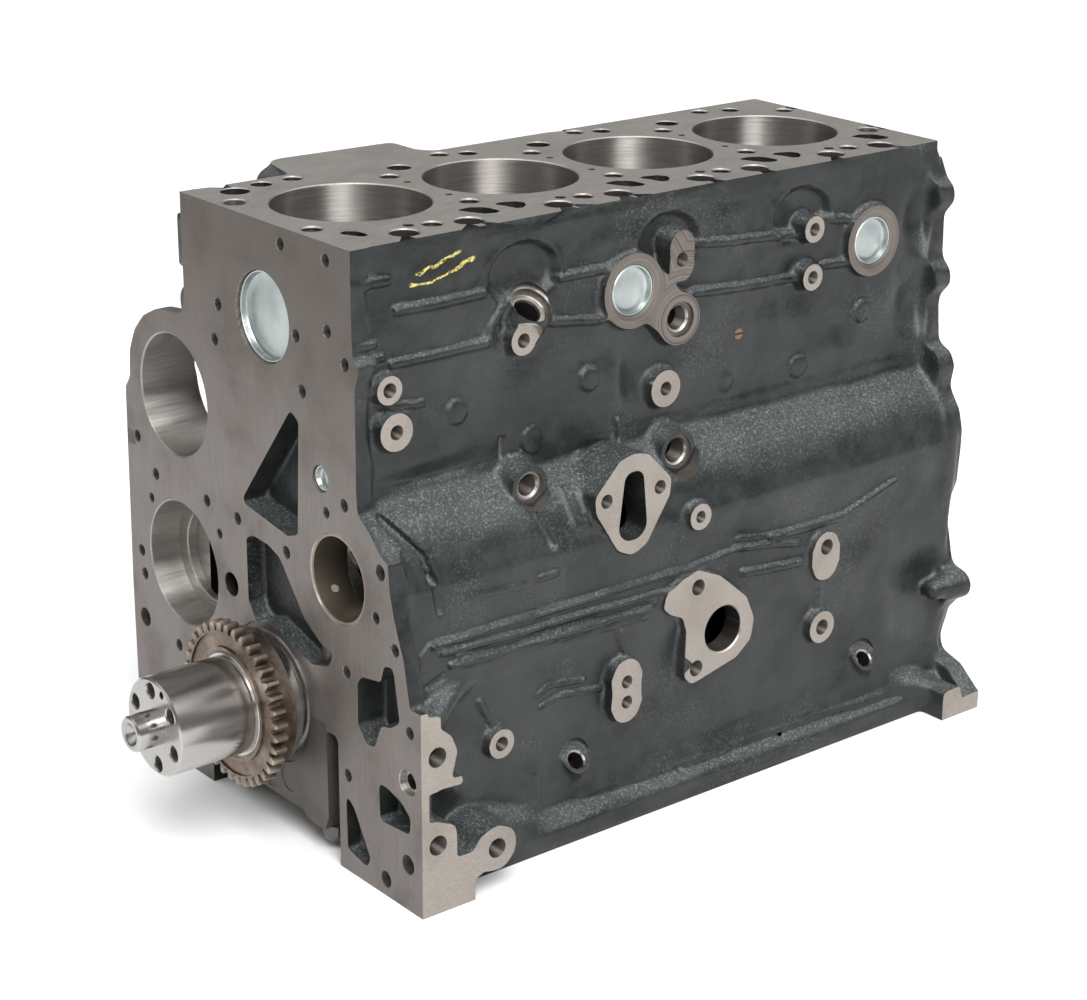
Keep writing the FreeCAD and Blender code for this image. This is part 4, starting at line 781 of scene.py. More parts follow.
# front face holes
FRONT_HOLES = [
    (50.5, 264.5, 4.2, 22), (56.5, 238.8, 4.2, 22), (-42.7, 264.6, 4.2, 22),
    (-78.6, 275.7, 4.2, 22), (-48.3, 228.6, 4.2, 22), (-97.5, 258.5, 4.2, 22),
    (-27.5, 321.5, 4.2, 10), (-78.4, 321.5, 4.2, 10),
    (167.0, 140.9, 4.2, 22), (143.5, 118.4, 4.2, 22), (151.0, 98.4, 3.4, 22),
    (75.1, 118.0, 4.2, 22), (35.7, 116.5, 4.2, 22), (60.0, 98.1, 3.4, 22),
    (169.0, 52.4, 4.2, 22), (166.0, 35.1, 4.2, 22), (46.7, 64.6, 8.5, 22),
    (-24.3, 110.2, 4.2, 22), (-72.7, 152.7, 3.6, 20), (-93.3, 163.5, 4.2, 10),
    (-132.0, 129.6, 5.2, 10), (-126.5, 96.8, 3.8, 10), (-147.0, 81.2, 4.2, 10),
    (168.8, -0.3, 7.0, 26), (121.9, -6.7, 4.2, 22), (78.7, 0.0, 4.2, 20),
    (-91.9, 47.0, 4.2, 20), (-161.8, 28.9, 4.2, 10), (-91.0, -28.2, 4.2, 20),
    (-158.0, -66.8, 6.6, 28), (-133.0, -88.0, 5.6, 24)]
for i, (y_, z_, r_, dd) in enumerate(FRONT_HOLES):
    hole("fh%d" % i, (0, y_, z_), (1, 0, 0), r_, float(dd), 0.6, 1.25 if r_ < 5 else 1.5 if r_ < 8 else 0, mc=M_BOSS)
lathe("fdow", [(-8, 0, M_BORE), (-8, 9.5, M_BORE), (0, 9.5, M_BORE), (0.5, 9.0, M_BORE), (4.0, 9.0, M_BORE), (4.0, 5.5, M_HOLE),
               (28, 5.5, M_HOLE), (28, 0)], (0, -159.1, -7.3), (1, 0, 0), 32, CUT)
# side holes
SIDE_HOLES = [
    (24.2, 240.4, 4.2, UP_Y, 20), (29.1, 211.6, 4.2, UP_Y, 20), (131.5, 253.6, 4.2, UP_Y, 20),
    (268.5, 286.0, 4.2, UP_Y, 20), (394.3, 287.7, 4.0, UP_Y, 20), (394.4, 252.6, 4.0, UP_Y, 20),
    (256.5, 196.5, 4.2, UP_Y, 22), (175.8, 141.8, 4.2, BOSS_Y, 22), (223.0, 141.8, 4.2, BOSS_Y, 22),
    (261.4, 111.2, 3.6, BOSS_Y, 18), (261.0, 58.8, 5.2, BOSS_Y, 24), (261.0, -2.9, 5.2, BOSS_Y, 24),
    (196.6, 4.5, 4.0, BOSS_Y, 18), (196.8, -10.8, 4.0, BOSS_Y, 18),
    (386.8, 59.0, 5.2, BOSS_Y, 20), (385.6, -4.0, 5.2, BOSS_Y, 20), (87.1, -10.3, 4.4, BOSS_Y, 20),
    (12.8, 12.9, 6.2, PAD_Y, 28), (12.8, -50.1, 6.2, PAD_Y, 24), (61.1, -67.7, 6.2, PAD_Y, 28)]
for i, (x_, z_, r_, y_, dd) in enumerate(SIDE_HOLES):
    hole("sh%d" % i, (x_, y_, z_), (0, 1, 0), r_, float(dd), 0.8, 1.25 if r_ < 5 else 1.5, mc=M_HOLE)
for nm, x_, z_, r_, rs, y_, dd, ds in (("a", 268.0, 244.0, 8.2, 12.5, UP_Y, 20, 2.5), ("b", 127.6, 156.7, 7.2, 11.0, -124.0, 24, 2.0),
                                       ("c", 258.4, 153.3, 8.6, 12.0, -124.0, 24, 2.5)):
    P = [(-8, 0, M_BOSS), (-8, rs, M_BOSS), (ds, rs, M_BOSS), (ds, r_ + 1.4, M_BORE), (ds + 1.6, r_, M_HOLE)]
    t = ds + 2.2
    while t < dd - 6:
        P += [(t, r_ - 0.45, M_HOLE), (t + 0.75, r_ + 0.35, M_HOLE)]
        t += 1.5
    P += [(dd, r_, M_HOLE), (dd + 3, 0, M_HOLE)]
    lathe("port" + nm, P, (x_, y_, z_), (0, 1, 0), 48, CUT)
lathe("sidebore", [(-8, 0, M_BORE), (-8, 18.2, M_BORE), (0, 18.2, M_BORE), (1.0, 17.2, M_BORE), (18, 17.2, M_RAW), (18, 0)],
      (286.2, BOSS_Y, 20.6), (0, 1, 0), 72, CUT)
prism("fuelslot", rpoly([(191.8, 158.0), (207.6, 158.0), (212.8, 108.8), (185.4, 108.8)], [7.5, 7.5, 13.2, 13.2], 8), 1,
      BOSS_Y - 8.0, -106.0, M_RAW, M_RAW)
lathe("angport", [(8, 0, M_CAST), (9, 13.0, M_CAST), (12, 15.8, M_CAST), (20, 16.0, M_BOSS), (20, 14.6, M_BORE), (21.0, 13.6, M_BORE), (27.0, 13.4, M_BORE),
                  (27.6, 12.6, M_BORE), (27.6, 9.6, M_HOLE), (28.8, 8.6, M_HOLE), (60, 8.0, M_HOLE), (60, 0)],
      tuple(A1 + D1 * 20.0), tuple(-D1), 56, CUT)
for i, (x_, z_) in enumerate(((436.0, -49.0), (155.0, -49.0))):
    dv = np.array([0, 0.75, -0.66])
    dv /= np.linalg.norm(dv)
    o_ = np.array([x_, -132.0, z_ - 4.0]) - dv * 26.0
    lathe("low%d" % i, [(0, 0, M_CAST), (0, 14.0, M_CAST), (12.5, 14.0, M_CAST), (12.5, 7.4, M_BORE), (13.6, 6.2, M_HOLE),
                        (34, 6.2, M_HOLE), (34, 0)], tuple(o_), tuple(dv), 32, CUT)
lathe("scr", [(-8, 0, M_HOLE), (-8, 4.0, M_HOLE), (18, 4.0, M_HOLE), (18, 0)], (328.7, -110.0, 221.4), (0, 1, 0), 24, CUT)
# openings under the bulkheads
END_OPEN = [(-80.5, BOT_Z - 15.0), (-80.5, -8.0), (-77.5, -4.6), (-69.5, -4.6), (-67.0, -6.5),
            (-67.0, 0.0), (67.0, 0.0), (67.0, -6.5), (69.5, -4.6), (77.5, -4.6),
            (80.5, -8.0), (80.5, BOT_Z - 15.0)]
MID_OPEN = [(-124.0, BOT_Z - 15.0), (-118.0, -84.0), (-80.5, -46.0), (-80.5, -8.0),
            (-77.5, -4.6), (-69.5, -4.6), (-67.0, -6.5), (-67.0, 0.0), (67.0, 0.0),
            (67.0, -6.5), (69.5, -4.6), (77.5, -4.6), (80.5, -8.0), (80.5, -46.0),
            (118.0, -84.0), (124.0, BOT_Z - 15.0)]
prism("eo1", END_OPEN, 0, -15.0, 32.0, M_CAST, M_CAST)
prism("eo2", END_OPEN, 0, 500.0, REAR_X + 15.0, M_CAST, M_CAST)
for k, (a, b) in enumerate(((123.9, 149.9), (244.1, 279.7), (373.9, 399.9))):
    prism("mo%d" % k, MID_OPEN, 0, a - 3.0, b + 3.0, M_CAST, M_CAST)
# underside: rail and cap bolt holes; rear face holes
for x_ in (20.0, 92.0, 156.0, 220.0, 284.0, 348.0, 412.0, 476.0, 520.0):
    for s in (-1, 1):
        hole("rl", (x_, 141.5 * s, BOT_Z), (0, 0, 1), 4.0, 20.0, 0.6, n=16)
for (a, b) in ((0.0, 28.0), (123.9, 149.9), (244.1, 279.7), (373.9, 399.9), (503.0, 531.0)):
    for s in (-1, 1):
        hole("cb", ((a + b) / 2, 56.0 * s, 0.0), (0, 0, 1), 7.0, 60.0, 0.2, n=24)
for (y_, z_) in ((-95.0, 300.0), (84.0, 290.0), (-88.0, 228.0), (95.0, 228.0), (-112.0, 165.0),
                 (112.0, 160.0), (-125.0, 100.0), (125.0, 100.0), (-140.0, 0.0), (140.0, 0.0),
                 (-120.0, -60.0), (120.0, -60.0)):
    hole("rh", (REAR_X, y_, z_), (-1, 0, 0), 5.1, 12.0, 0.7, 1.5, mc=M_FLAT, n=16)

for m in MATS:
    if m.name not in [q.name for q in cast.data.materials if q]:
        cast.data.materials.append(m)
md = cast.modifiers.new("b", "BOOLEAN")
md.operation, md.operand_type, md.collection, md.solver = "DIFFERENCE", "COLLECTION", CUT, "MANIFOLD"
new = baked(cast, "casting")
print("casting cut", len(new.polygons), len(new.vertices))
cast.modifiers.clear()
cast.data = new
for o in list(CUT.objects):
    m_ = o.data
    bpy.data.objects.remove(o)
    bpy.data.meshes.remove(m_)
bpy.data.collections.remove(CUT)


def to_row(me):
    n = len(me.vertices)
    co = np.zeros(n * 3, np.float32)
    me.vertices.foreach_get("co", co)
    co = (co.reshape(-1, 3) + OFF) * 0.001
    me.vertices.foreach_set("co", co.astype(np.float32).ravel())
    me.update()


def shade(o, deg=32.0):
    me = o.data
    me.polygons.foreach_set("use_smooth", [True] * len(me.polygons))
    me.set_sharp_from_angle(angle=math.radians(deg))


def islands(me, keep_min=200):
    """Drop loose crumbs left by cutting."""
    bm = bmesh.new()
    bm.from_mesh(me)
    bm.verts.ensure_lookup_table()
    seen, drop_ = set(), []
    for v0 in bm.verts:
        if v0.index in seen:
            continue
        st, comp = [v0], []
        seen.add(v0.index)
        while st:
            q = st.pop()
            comp.append(q)
            for e in q.link_edges:
                w = e.other_vert(q)
                if w.index not in seen:
                    seen.add(w.index)
                    st.append(w)
        if len(comp) < keep_min:
            drop_ += comp
    bmesh.ops.delete(bm, geom=drop_, context="VERTS")
    bm.to_mesh(me)
    bm.free()
    return len(drop_)


print("crumbs", islands(cast.data))
to_row(cast.data)
shade(cast, 34.0)
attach(cast, "block")
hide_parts("crankcase")


# ------------------------------------------------------------------ materials
class Mat:
    """Small helper for node materials in object coordinates (metres)."""

    def __init__(self, mat):
        mat.use_nodes = True
        self.m = mat
        self.t = mat.node_tree
        self.t.nodes.clear()
        self.out = self.t.nodes.new("ShaderNodeOutputMaterial")
        self.b = self.t.nodes.new("ShaderNodeBsdfPrincipled")
        self.t.links.new(self.b.outputs[0], self.out.inputs[0])
        self.tc = self.t.nodes.new("ShaderNodeTexCoord").outputs["Object"]
        self.sep = None

    def link(self, a, b):
        self.t.links.new(a, b)

    def val(self, sock, v):
        if hasattr(v, "is_linked") or isinstance(v, bpy.types.NodeSocket):
            self.link(v, sock)
        else:
            sock.default_value = v

    def xyz(self, i):
        if self.sep is None:
            self.sep = self.t.nodes.new("ShaderNodeSeparateXYZ")
            self.link(self.tc, self.sep.inputs[0])
        return self.sep.outputs[i]

    def mapping(self, scale=(1, 1, 1), rot=(0, 0, 0), loc=(0, 0, 0), src=None):
        n = self.t.nodes.new("ShaderNodeMapping")
        n.inputs["Scale"].default_value = scale
        n.inputs["Rotation"].default_value = rot
        n.inputs["Location"].default_value = loc
        self.link(src or self.tc, n.inputs[0])
        return n.outputs[0]

    def noise(self, scale, detail=3.0, rough=0.5, vec=None, dist=0.0):
        n = self.t.nodes.new("ShaderNodeTexNoise")
        n.inputs["Scale"].default_value = scale
        n.inputs["Detail"].default_value = detail
        n.inputs["Roughness"].default_value = rough
        n.inputs["Distortion"].default_value = dist
        self.link(vec or self.tc, n.inputs["Vector"])
        return n.outputs["Fac"]

    def voronoi(self, scale, vec=None, feature="F1", rand=1.0):
        n = self.t.nodes.new("ShaderNodeTexVoronoi")
        n.feature = feature
        n.inputs["Scale"].default_value = scale
        n.inputs["Randomness"].default_value = rand
        self.link(vec or self.tc, n.inputs["Vector"])
        return n.outputs["Distance"]

    def ramp(self, f, stops):
        n = self.t.nodes.new("ShaderNodeValToRGB")
        cr = n.color_ramp
        while len(cr.elements) < len(stops):
            cr.elements.new(0.5)
        for e, (p, c) in zip(cr.elements, stops):
            e.position = p
            e.color = (c, c, c, 1) if isinstance(c, (int, float)) else (*c, 1)
        self.link(f, n.inputs[0])
        return n.outputs[0]

    def rng(self, f, a, b, c, d, smooth=False):
        n = self.t.nodes.new("ShaderNodeMapRange")
        if smooth:
            n.interpolation_type = "SMOOTHSTEP"
        n.inputs[1].default_value, n.inputs[2].default_value = a, b
        n.inputs[3].default_value, n.inputs[4].default_value = c, d
        self.link(f, n.inputs[0])
        return n.outputs[0]

    def math(self, op, a, b=None, c=None, clamp=False):
        n = self.t.nodes.new("ShaderNodeMath")
        n.operation = op
        n.use_clamp = clamp
        self.val(n.inputs[0], a)
        if b is not None:
            self.val(n.inputs[1], b)
        if c is not None:
            self.val(n.inputs[2], c)
        return n.outputs[0]

    def mix(self, f, a, b, mode="MIX"):
        n = self.t.nodes.new("ShaderNodeMix")
        n.data_type = "RGBA"
        n.blend_type = mode
        self.val(n.inputs[0], f)
        for s_, q in ((n.inputs[6], a), (n.inputs[7], b)):
            if isinstance(q, bpy.types.NodeSocket):
                self.link(q, s_)
            else:
                s_.default_value = (*q, 1)
        return n.outputs[2]

    def bump(self, h, strength, dist, normal=None):
        n = self.t.nodes.new("ShaderNodeBump")
        self.val(n.inputs["Strength"], strength)
        n.inputs["Distance"].default_value = dist
        self.link(h, n.inputs["Height"])
        if normal is not None:
            self.link(normal, n.inputs["Normal"])
        return n.outputs[0]

    def point(self, a, b):
        g = self.t.nodes.new("ShaderNodeNewGeometry")
        return self.rng(g.outputs["Pointiness"], a, b, 0.0, 1.0)

    def set(self, color=None, rough=None, metal=None, normal=None, spec=None, coat=None, coat_rough=None):
        b = self.b.inputs
        if color is not None:
            if isinstance(color, bpy.types.NodeSocket):
                self.link(color, b["Base Color"])
            else:
                b["Base Color"].default_value = (*color, 1)
        if rough is not None:
            self.val(b["Roughness"], rough)
        if metal is not None:
            b["Metallic"].default_value = metal
        if spec is not None:
            b["Specular IOR Level"].default_value = spec
        if coat is not None:
            b["Coat Weight"].default_value = coat
            b["Coat Roughness"].default_value = coat_rough or 0.2
        if normal is not None:
            self.link(normal, b["Normal"])


def cast_paint(mat, light=1.0, grain=1.0, marks=True):
    M = Mat(mat)
    big = M.noise(11.0, 5.0, 0.6)
    mid = M.noise(60.0, 4.0, 0.6)
    fine = M.noise(560.0, 3.0, 0.7)
    sand = M.noise(1150.0, 2.0, 0.6)
    g = M.t.nodes.new("ShaderNodeNewGeometry")
    sp = M.t.nodes.new("ShaderNodeSeparateXYZ")
    M.link(g.outputs["Normal"], sp.inputs[0])
    up = M.rng(sp.outputs[2], 0.26, 0.80, 0, 1, True)
    # grain is strong in patches and on everything that faces up; up-facing faces also carry painted light from above
    patch = M.rng(M.noise(16.0, 3.0, 0.5), 0.50, 0.70, 0.12, 1.0, True)
    gr = M.math("MAXIMUM", M.math("MULTIPLY", patch, 0.42), up)
    col = M.mix(M.rng(big, 0.35, 0.68, 0, 1, True), [q * light for q in (0.0080, 0.0094, 0.0098)],
                [q * light for q in (0.0235, 0.0255, 0.0255)])
    col = M.mix(M.rng(mid, 0.42, 0.70, 0, 0.42, True), col, [q * light for q in (0.036, 0.039, 0.0385)])
    # painted light: faces turned upwards are painted lighter, as if lit from above
    col = M.mix(M.math("MULTIPLY", up, 0.50), col, [q * light for q in (0.098, 0.108, 0.108)])
    # painted glints: light flecks on the sand grain, strongest on up-facing faces, standing in for specular sparkle
    painted_glint = M.math("MULTIPLY", M.rng(fine, 0.52, 0.70, 0, 1), M.math("MULTIPLY", gr, 0.85))
    col = M.mix(painted_glint, col, [q * light for q in (0.21, 0.225, 0.22)])
    dip = M.math("MULTIPLY", M.rng(fine, 0.48, 0.34, 0, 1), M.math("MULTIPLY", gr, 0.6))
    col = M.mix(dip, col, [q * light for q in (0.014, 0.017, 0.018)])
    # painted highlight: convex edges and ridges (high pointiness) painted lighter
    painted_edge_highlight = M.point(0.53, 0.61)
    col = M.mix(M.math("MULTIPLY", painted_edge_highlight, 0.75), col, [q * light for q in (0.23, 0.235, 0.225)])
    # painted shade gathered in the hollows (low pointiness painted darker)
    painted_hollow_shade = M.point(0.485, 0.43)
    col = M.mix(M.math("MULTIPLY", painted_hollow_shade, 0.6), col, [q * light for q in (0.006, 0.007, 0.007)])
    if marks:
        # loose chalky strokes of yellow paint near the front top corner
        x, y, z = M.xyz(0), M.xyz(1), M.xyz(2)
        wob = M.math("MULTIPLY", M.math("SUBTRACT", M.noise(70.0, 2.0, 0.5), 0.5), 0.010)
        f = None
        for (xa, za, xb_, zb_) in ((-0.1800, 0.4020, -0.1290, 0.4130), (-0.1755, 0.4105, -0.1400, 0.4185)):
            L = math.hypot(xb_ - xa, zb_ - za)
            ux, uz = (xb_ - xa) / L, (zb_ - za) / L
            dx, dz = M.math("SUBTRACT", x, xa), M.math("SUBTRACT", z, za)
            al = M.math("ADD", M.math("MULTIPLY", dx, ux), M.math("MULTIPLY", dz, uz))
            ac = M.math("ADD", M.math("SUBTRACT", M.math("MULTIPLY", dz, ux), M.math("MULTIPLY", dx, uz)), wob)
            s1 = M.rng(M.math("ABSOLUTE", ac), 0.0007, 0.0012, 1, 0)
            s2 = M.math("MULTIPLY", M.rng(al, 0.0, 0.001, 0, 1), M.rng(al, L, L + 0.002, 1, 0))
            q = M.math("MULTIPLY", s1, s2)
            f = q if f is None else M.math("MAXIMUM", f, q)
        f = M.math("MULTIPLY", f, M.rng(y, -0.1062, -0.1054, 1, 0))
        f = M.math("MULTIPLY", f, M.rng(M.noise(420.0, 3.0, 0.7), 0.40, 0.54, 0.1, 0.95))
        col = M.mix(f, col, (0.62, 0.53, 0.15))
    rough = M.math("ADD", M.rng(mid, 0.3, 0.7, 0.30, 0.46), M.rng(fine, 0.3, 0.7, -0.05, 0.08))
    n1 = M.bump(M.noise(46.0, 3.0, 0.55), 0.6, 0.0018)
    n2 = M.bump(M.noise(190.0, 3.0, 0.6), 0.5, 0.0006, n1)
    n3 = M.bump(fine, M.math("MULTIPLY", gr, 0.75 * grain), 0.0006, n2)
    n4 = M.bump(sand, M.math("MULTIPLY", gr, 0.4 * grain), 0.00022, n3)
    M.set(col, rough, 0.0, n4, 0.36)
    return M


def machined(mat, base, streak_scale, rot, rough=(0.34, 0.52), metal=0.75, depth=0.00006, stain=(0.6, 0.55, 0.5), cross=0.3,
             speck=0.25):
    """Machined iron: fine cutter lines, stains, small dark pores."""
    M = Mat(mat)
    v1 = M.mapping(streak_scale, rot)
    s1 = M.noise(1.0, 4.0, 0.7, v1)
    s2 = M.noise(3.1, 3.0, 0.6, v1)
    blot = M.noise(22.0, 5.0, 0.62)
    blot2 = M.noise(7.0, 3.0, 0.5)
    pores = M.noise(1400.0, 2.0, 0.6)
    c = M.mix(M.rng(s1, 0.32, 0.68, 0, 1), [q * 0.72 for q in base], [q * 1.16 for q in base])
    c = M.mix(M.rng(s2, 0.4, 0.75, 0, 0.5), c, [q * 1.35 for q in base])
    c = M.mix(M.rng(blot, 0.45, 0.72, 0, cross, True), c, [q * w for q, w in zip(base, stain)])
    c = M.mix(M.rng(blot2, 0.4, 0.7, 0, 0.22, True), c, [q * 1.2 for q in base])
    c = M.mix(M.rng(pores, 0.62, 0.74, 0, speck), c, [q * 0.35 for q in base])
    if mat.name == "front_milled":
        top = M.rng(M.math("ADD", M.xyz(2), M.math("MULTIPLY", blot2, 0.12)), 0.30, 0.48, 0, 0.62, True)
        c = M.mix(top, c, [q * w for q, w in zip(base, (0.40, 0.34, 0.30))])
    if mat.name == "boss_faced":
        dm = None
        for (cx_, cz_) in ((0.001, 0.371), (0.230, 0.370), (0.043, 0.344), (-0.0974, 0.2567), (0.0334, 0.2533)):
            ex, ez = M.math("SUBTRACT", M.xyz(0), cx_), M.math("SUBTRACT", M.xyz(2), cz_)
            dd_ = M.math("SQRT", M.math("ADD", M.math("MULTIPLY", ex, ex), M.math("MULTIPLY", ez, ez)))
            dm = dd_ if dm is None else M.math("MINIMUM", dm, dd_)
        cv = M.t.nodes.new("ShaderNodeCombineXYZ")
        M.link(dm, cv.inputs[0])
        rg = M.noise(620.0, 2.0, 0.6, cv.outputs[0])
        c = M.mix(M.rng(rg, 0.36, 0.66, 0, 1), c, [q * 1.9 for q in base])
        c = M.mix(M.rng(rg, 0.46, 0.36, 0, 0.8), c, [q * 0.5 for q in base])
        s1 = M.math("ADD", M.math("MULTIPLY", s1, 0.3), rg)
    if mat.name == "bore_honed":
        # highlights spread along the bore
        msk = M.math("MULTIPLY", M.rng(M.xyz(2), 0.20, 0.201, 0, 1), M.rng(M.math("ABSOLUTE", M.math("ADD", M.xyz(1), 0.00485)), 0.056, 0.057, 1, 0))
        tv = M.t.nodes.new("ShaderNodeCombineXYZ")
        M.link(msk, tv.inputs[2])
        M.link(M.math("SUBTRACT", 1.0, msk), tv.inputs[0])
        M.link(tv.outputs[0], M.b.inputs["Tangent"])
        M.b.inputs["Anisotropic"].default_value = 0.9
    r = M.math("ADD", M.rng(s1, 0.3, 0.7, rough[0], rough[1]), M.rng(blot, 0.3, 0.7, -0.05, 0.07))
    h = M.math("ADD", s1, M.math("MULTIPLY", s2, 0.6))
    n = M.bump(h, 0.5, depth)
    n = M.bump(pores, 0.12, 0.0001, n)
    M.set(c, r, metal, n, 0.5)
    return M


def rings(mat, base, axis, centre, pitch, rough=(0.25, 0.4), metal=0.9, depth=0.00003, var=0.25, along=False, stain=None):
    """Turned metal: lines round an axis (or along it for facing cuts)."""
    M = Mat(mat)
    q = [M.xyz(i) for i in range(3)]
    t = q.pop(axis)
    if along:
        d = t
    else:
        dx = M.math("SUBTRACT", q[0], centre[0])
        dy = M.math("SUBTRACT", q[1], centre[1])
        d = M.math("SQRT", M.math("ADD", M.math("MULTIPLY", dx, dx), M.math("MULTIPLY", dy, dy)))
    cv = M.t.nodes.new("ShaderNodeCombineXYZ")
    M.link(d, cv.inputs[0])
    s1 = M.noise(1.0 / pitch, 4.0, 0.7, cv.outputs[0])
    blot = M.noise(30.0, 4.0, 0.6)
    c = M.mix(M.rng(s1, 0.3, 0.7, 0, 1), [w * (1 - var) for w in base], [w * (1 + var * 0.6) for w in base])
    c = M.mix(M.rng(blot, 0.5, 0.75, 0, 0.35, True), c, stain or [w * 0.6 for w in base])
    r = M.math("ADD", M.rng(s1, 0.3, 0.7, rough[0], rough[1]), M.rng(blot, 0.3, 0.7, -0.04, 0.06))
    n = M.bump(s1, 0.6, depth)
    M.set(c, r, metal, n, 0.5)
    return M


mats = {m.name: m for m in bpy.data.materials}
cast_paint(mats["cast_paint"])
cast_paint(mats["cast_raw"], 0.9, 1.4, False)
machined(mats["deck_ground"], (0.44, 0.412, 0.385), (60.0, 1500.0, 60.0), (0, 0, 0.06), (0.30, 0.46), 0.85, 0.00003, (0.62, 0.60, 0.58), 0.4, 0.2)
machined(mats["front_milled"], (0.175, 0.158, 0.147), (60.0, 640.0, 22.0), (0.42, 0, 0), (0.36, 0.54), 0.72, 0.00012, (0.55, 0.5, 0.45), 0.5, 0.4)
machined(mats["boss_faced"], (0.118, 0.103, 0.092), (900.0, 60.0, 900.0), (0, 0.5, 0), (0.34, 0.5), 0.7, 0.00005, (0.5, 0.45, 0.4), 0.5, 0.5)
machined(mats["pad_faced"], (0.300, 0.270, 0.240), (260.0, 60.0, 1500.0), (0, 0.2, 0), (0.36, 0.5), 0.6, 0.00005, (0.62, 0.55, 0.48), 0.4, 0.35)
machined(mats["bore_honed"], (0.38, 0.36, 0.338), (26.0, 26.0, 700.0), (0, 0, 0), (0.36, 0.44), 0.97, 0.00002, (0.72, 0.66, 0.6), 0.3, 0.08)
machined(mats["hole_steel"], (0.058, 0.052, 0.046), (400.0, 400.0, 400.0), (0, 0, 0), (0.34, 0.5), 0.75, 0.00004, (0.4, 0.36, 0.3), 0.6, 0.2)
machined(mats["flat_machined"], (0.34, 0.32, 0.30), (120.0, 900.0, 30.0), (0.1, 0, 0.1), (0.34, 0.5), 0.8, 0.00006, (0.6, 0.55, 0.5), 0.4, 0.3)

# carried-over pieces
PIECE = {}


def piece_mat(name, fn, *a, **k):
    m = bpy.data.materials.new(name)
    fn(m, *a, **k)
    PIECE[name] = m
    return m


piece_mat("cap_iron", machined, (0.118, 0.107, 0.098), (70.0, 420.0, 40.0), (0.3, 0, 0), (0.38, 0.54), 0.7, 0.00008, (0.6, 0.55, 0.5), 0.5, 0.4)
piece_mat("shell_metal", rings, (0.55, 0.53, 0.50), 0, (0, 0), 0.0006, (0.3, 0.42), 0.9, 0.00002, 0.15, True)
piece_mat("bolt_steel", rings, (0.14, 0.135, 0.13), 2, (0, 0), 0.0008, (0.36, 0.5), 0.8, 0.00004, 0.25, True)
piece_mat("thrust_bronze", rings, (0.52, 0.40, 0.22), 0, (-0.00485, 0.1), 0.0008, (0.3, 0.42), 0.9, 0.00002, 0.2)
piece_mat("bush_bronze", rings, (0.27, 0.225, 0.175), 0, (0, 0), 0.0007, (0.3, 0.46), 0.9, 0.00003, 0.25, True, (0.13, 0.08, 0.05))
piece_mat("screw_brown", rings, (0.22, 0.15, 0.09), 1, (0.1037, 0.3214), 0.0006, (0.4, 0.55), 0.8, 0.00004, 0.25)
piece_mat("dowel_steel", rings, (0.5, 0.48, 0.45), 2, (0, 0), 0.0008, (0.25, 0.36), 0.95, 0.00002, 0.15, True)


def zinc(mat):
    M = Mat(mat)
    a = M.noise(26.0, 3.0, 0.5)
    b = M.noise(260.0, 3.0, 0.6)
    c = M.mix(M.rng(a, 0.36, 0.66, 0, 1, True), (0.30, 0.335, 0.33), (0.44, 0.485, 0.475))
    c = M.mix(M.rng(b, 0.55, 0.75, 0, 0.25), c, (0.27, 0.30, 0.295))
    # painted highlight: convex edges of the plugs painted lighter
    c = M.mix(M.math("MULTIPLY", M.point(0.52, 0.60), 0.6), c, (0.72, 0.78, 0.76))
    r = M.math("ADD", M.rng(a, 0.3, 0.7, 0.26, 0.38), M.rng(b, 0.3, 0.7, -0.03, 0.04))
    n = M.bump(b, 0.08, 0.0002)
    n = M.bump(M.noise(60.0, 2.0, 0.5), 0.12, 0.0008, n)
    M.set(c, r, 0.85, n, 0.5)


piece_mat("zinc_plate", zinc)


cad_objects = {o.name: o for o in bpy.context.scene.objects if o.type == "MESH"}
NODES = dict(frame["nodes"]) if isinstance(frame["nodes"], dict) else {n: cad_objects[n] for n in frame["nodes"]}
for n_, o_ in NODES.items():
    if n_ in ("crankcase",):
        continue
    key = ("cap_iron" if n_.startswith("main_bearing_cap") else "shell_metal" if n_.startswith("main_shell") else
           "bolt_steel" if n_ == "main_cap_bolts" else "thrust_bronze" if n_.startswith("thrust") else
           "bush_bronze" if n_.startswith("cam_bush") else "screw_brown" if n_ == "side_slotted_plug" else
           "dowel_steel" if n_ in ("deck_ring_dowels", "crank_rear_dowel") else "zinc_plate")
    if n_ in ("crankshaft", "crank_gear"):
        continue
    for s_ in o_.material_slots:
        s_.material = PIECE[key]
    if not o_.material_slots:
        print("no slot on", n_)


# ------------------------------------------------------------------ pressed plugs
def adopt(o, node, body):
    to_row(o.data)
    bpy.context.scene.collection.objects.link(o)
    shade(o, 34.0)
    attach(o, body)
    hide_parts(node)
    return o


def plug(name, node, c, d, r, depth, dish):
    """Cup plug: rolled lip, straight wall, slightly domed floor with a coined ring."""
    w = 1.7
    P = [(depth, 0), (depth, r - 2.2), (depth - 0.7, r - 0.7), (depth - 2.0, r - 0.05), (1.4, r - 0.05), (0.5, r - 0.3), (0.0, r - 0.9),
         (0.15, r - 1.5), (0.9, r - w - 0.1), (dish - 2.0, r - w - 0.3), (dish - 0.8, r - w - 0.9), (dish - 0.2, r - w - 2.2),
         (dish + 0.05, r * 0.74), (dish - 0.10, r * 0.62), (dish - 0.35, r * 0.40), (dish - 0.52, r * 0.2), (dish - 0.6, 0)]
    return adopt(lathe(name, [(t, q, 0) for (t, q) in P], c, d, 96, None, mats=[PIECE["zinc_plate"]]), node, "block")


plug("core_plug_front", "front_core_plug", (2.5, -4.0, 268.0), (1, 0, 0), 31.0, 8.0, 5.0)
plug("core_plug_side_a", "side_core_plug_1", (226.0, UP_Y + 1.5, 271.0), (0, 1, 0), 18.0, 7.5, 4.6)
plug("core_plug_side_b", "side_core_plug_2", (455.0, UP_Y + 1.5, 270.0), (0, 1, 0), 18.0, 7.5, 4.6)
plug("gallery_plug_front", "front_gallery_plug", (2.0, -66.9, 174.2), (1, 0, 0), 9.0, 6.0, 3.4)

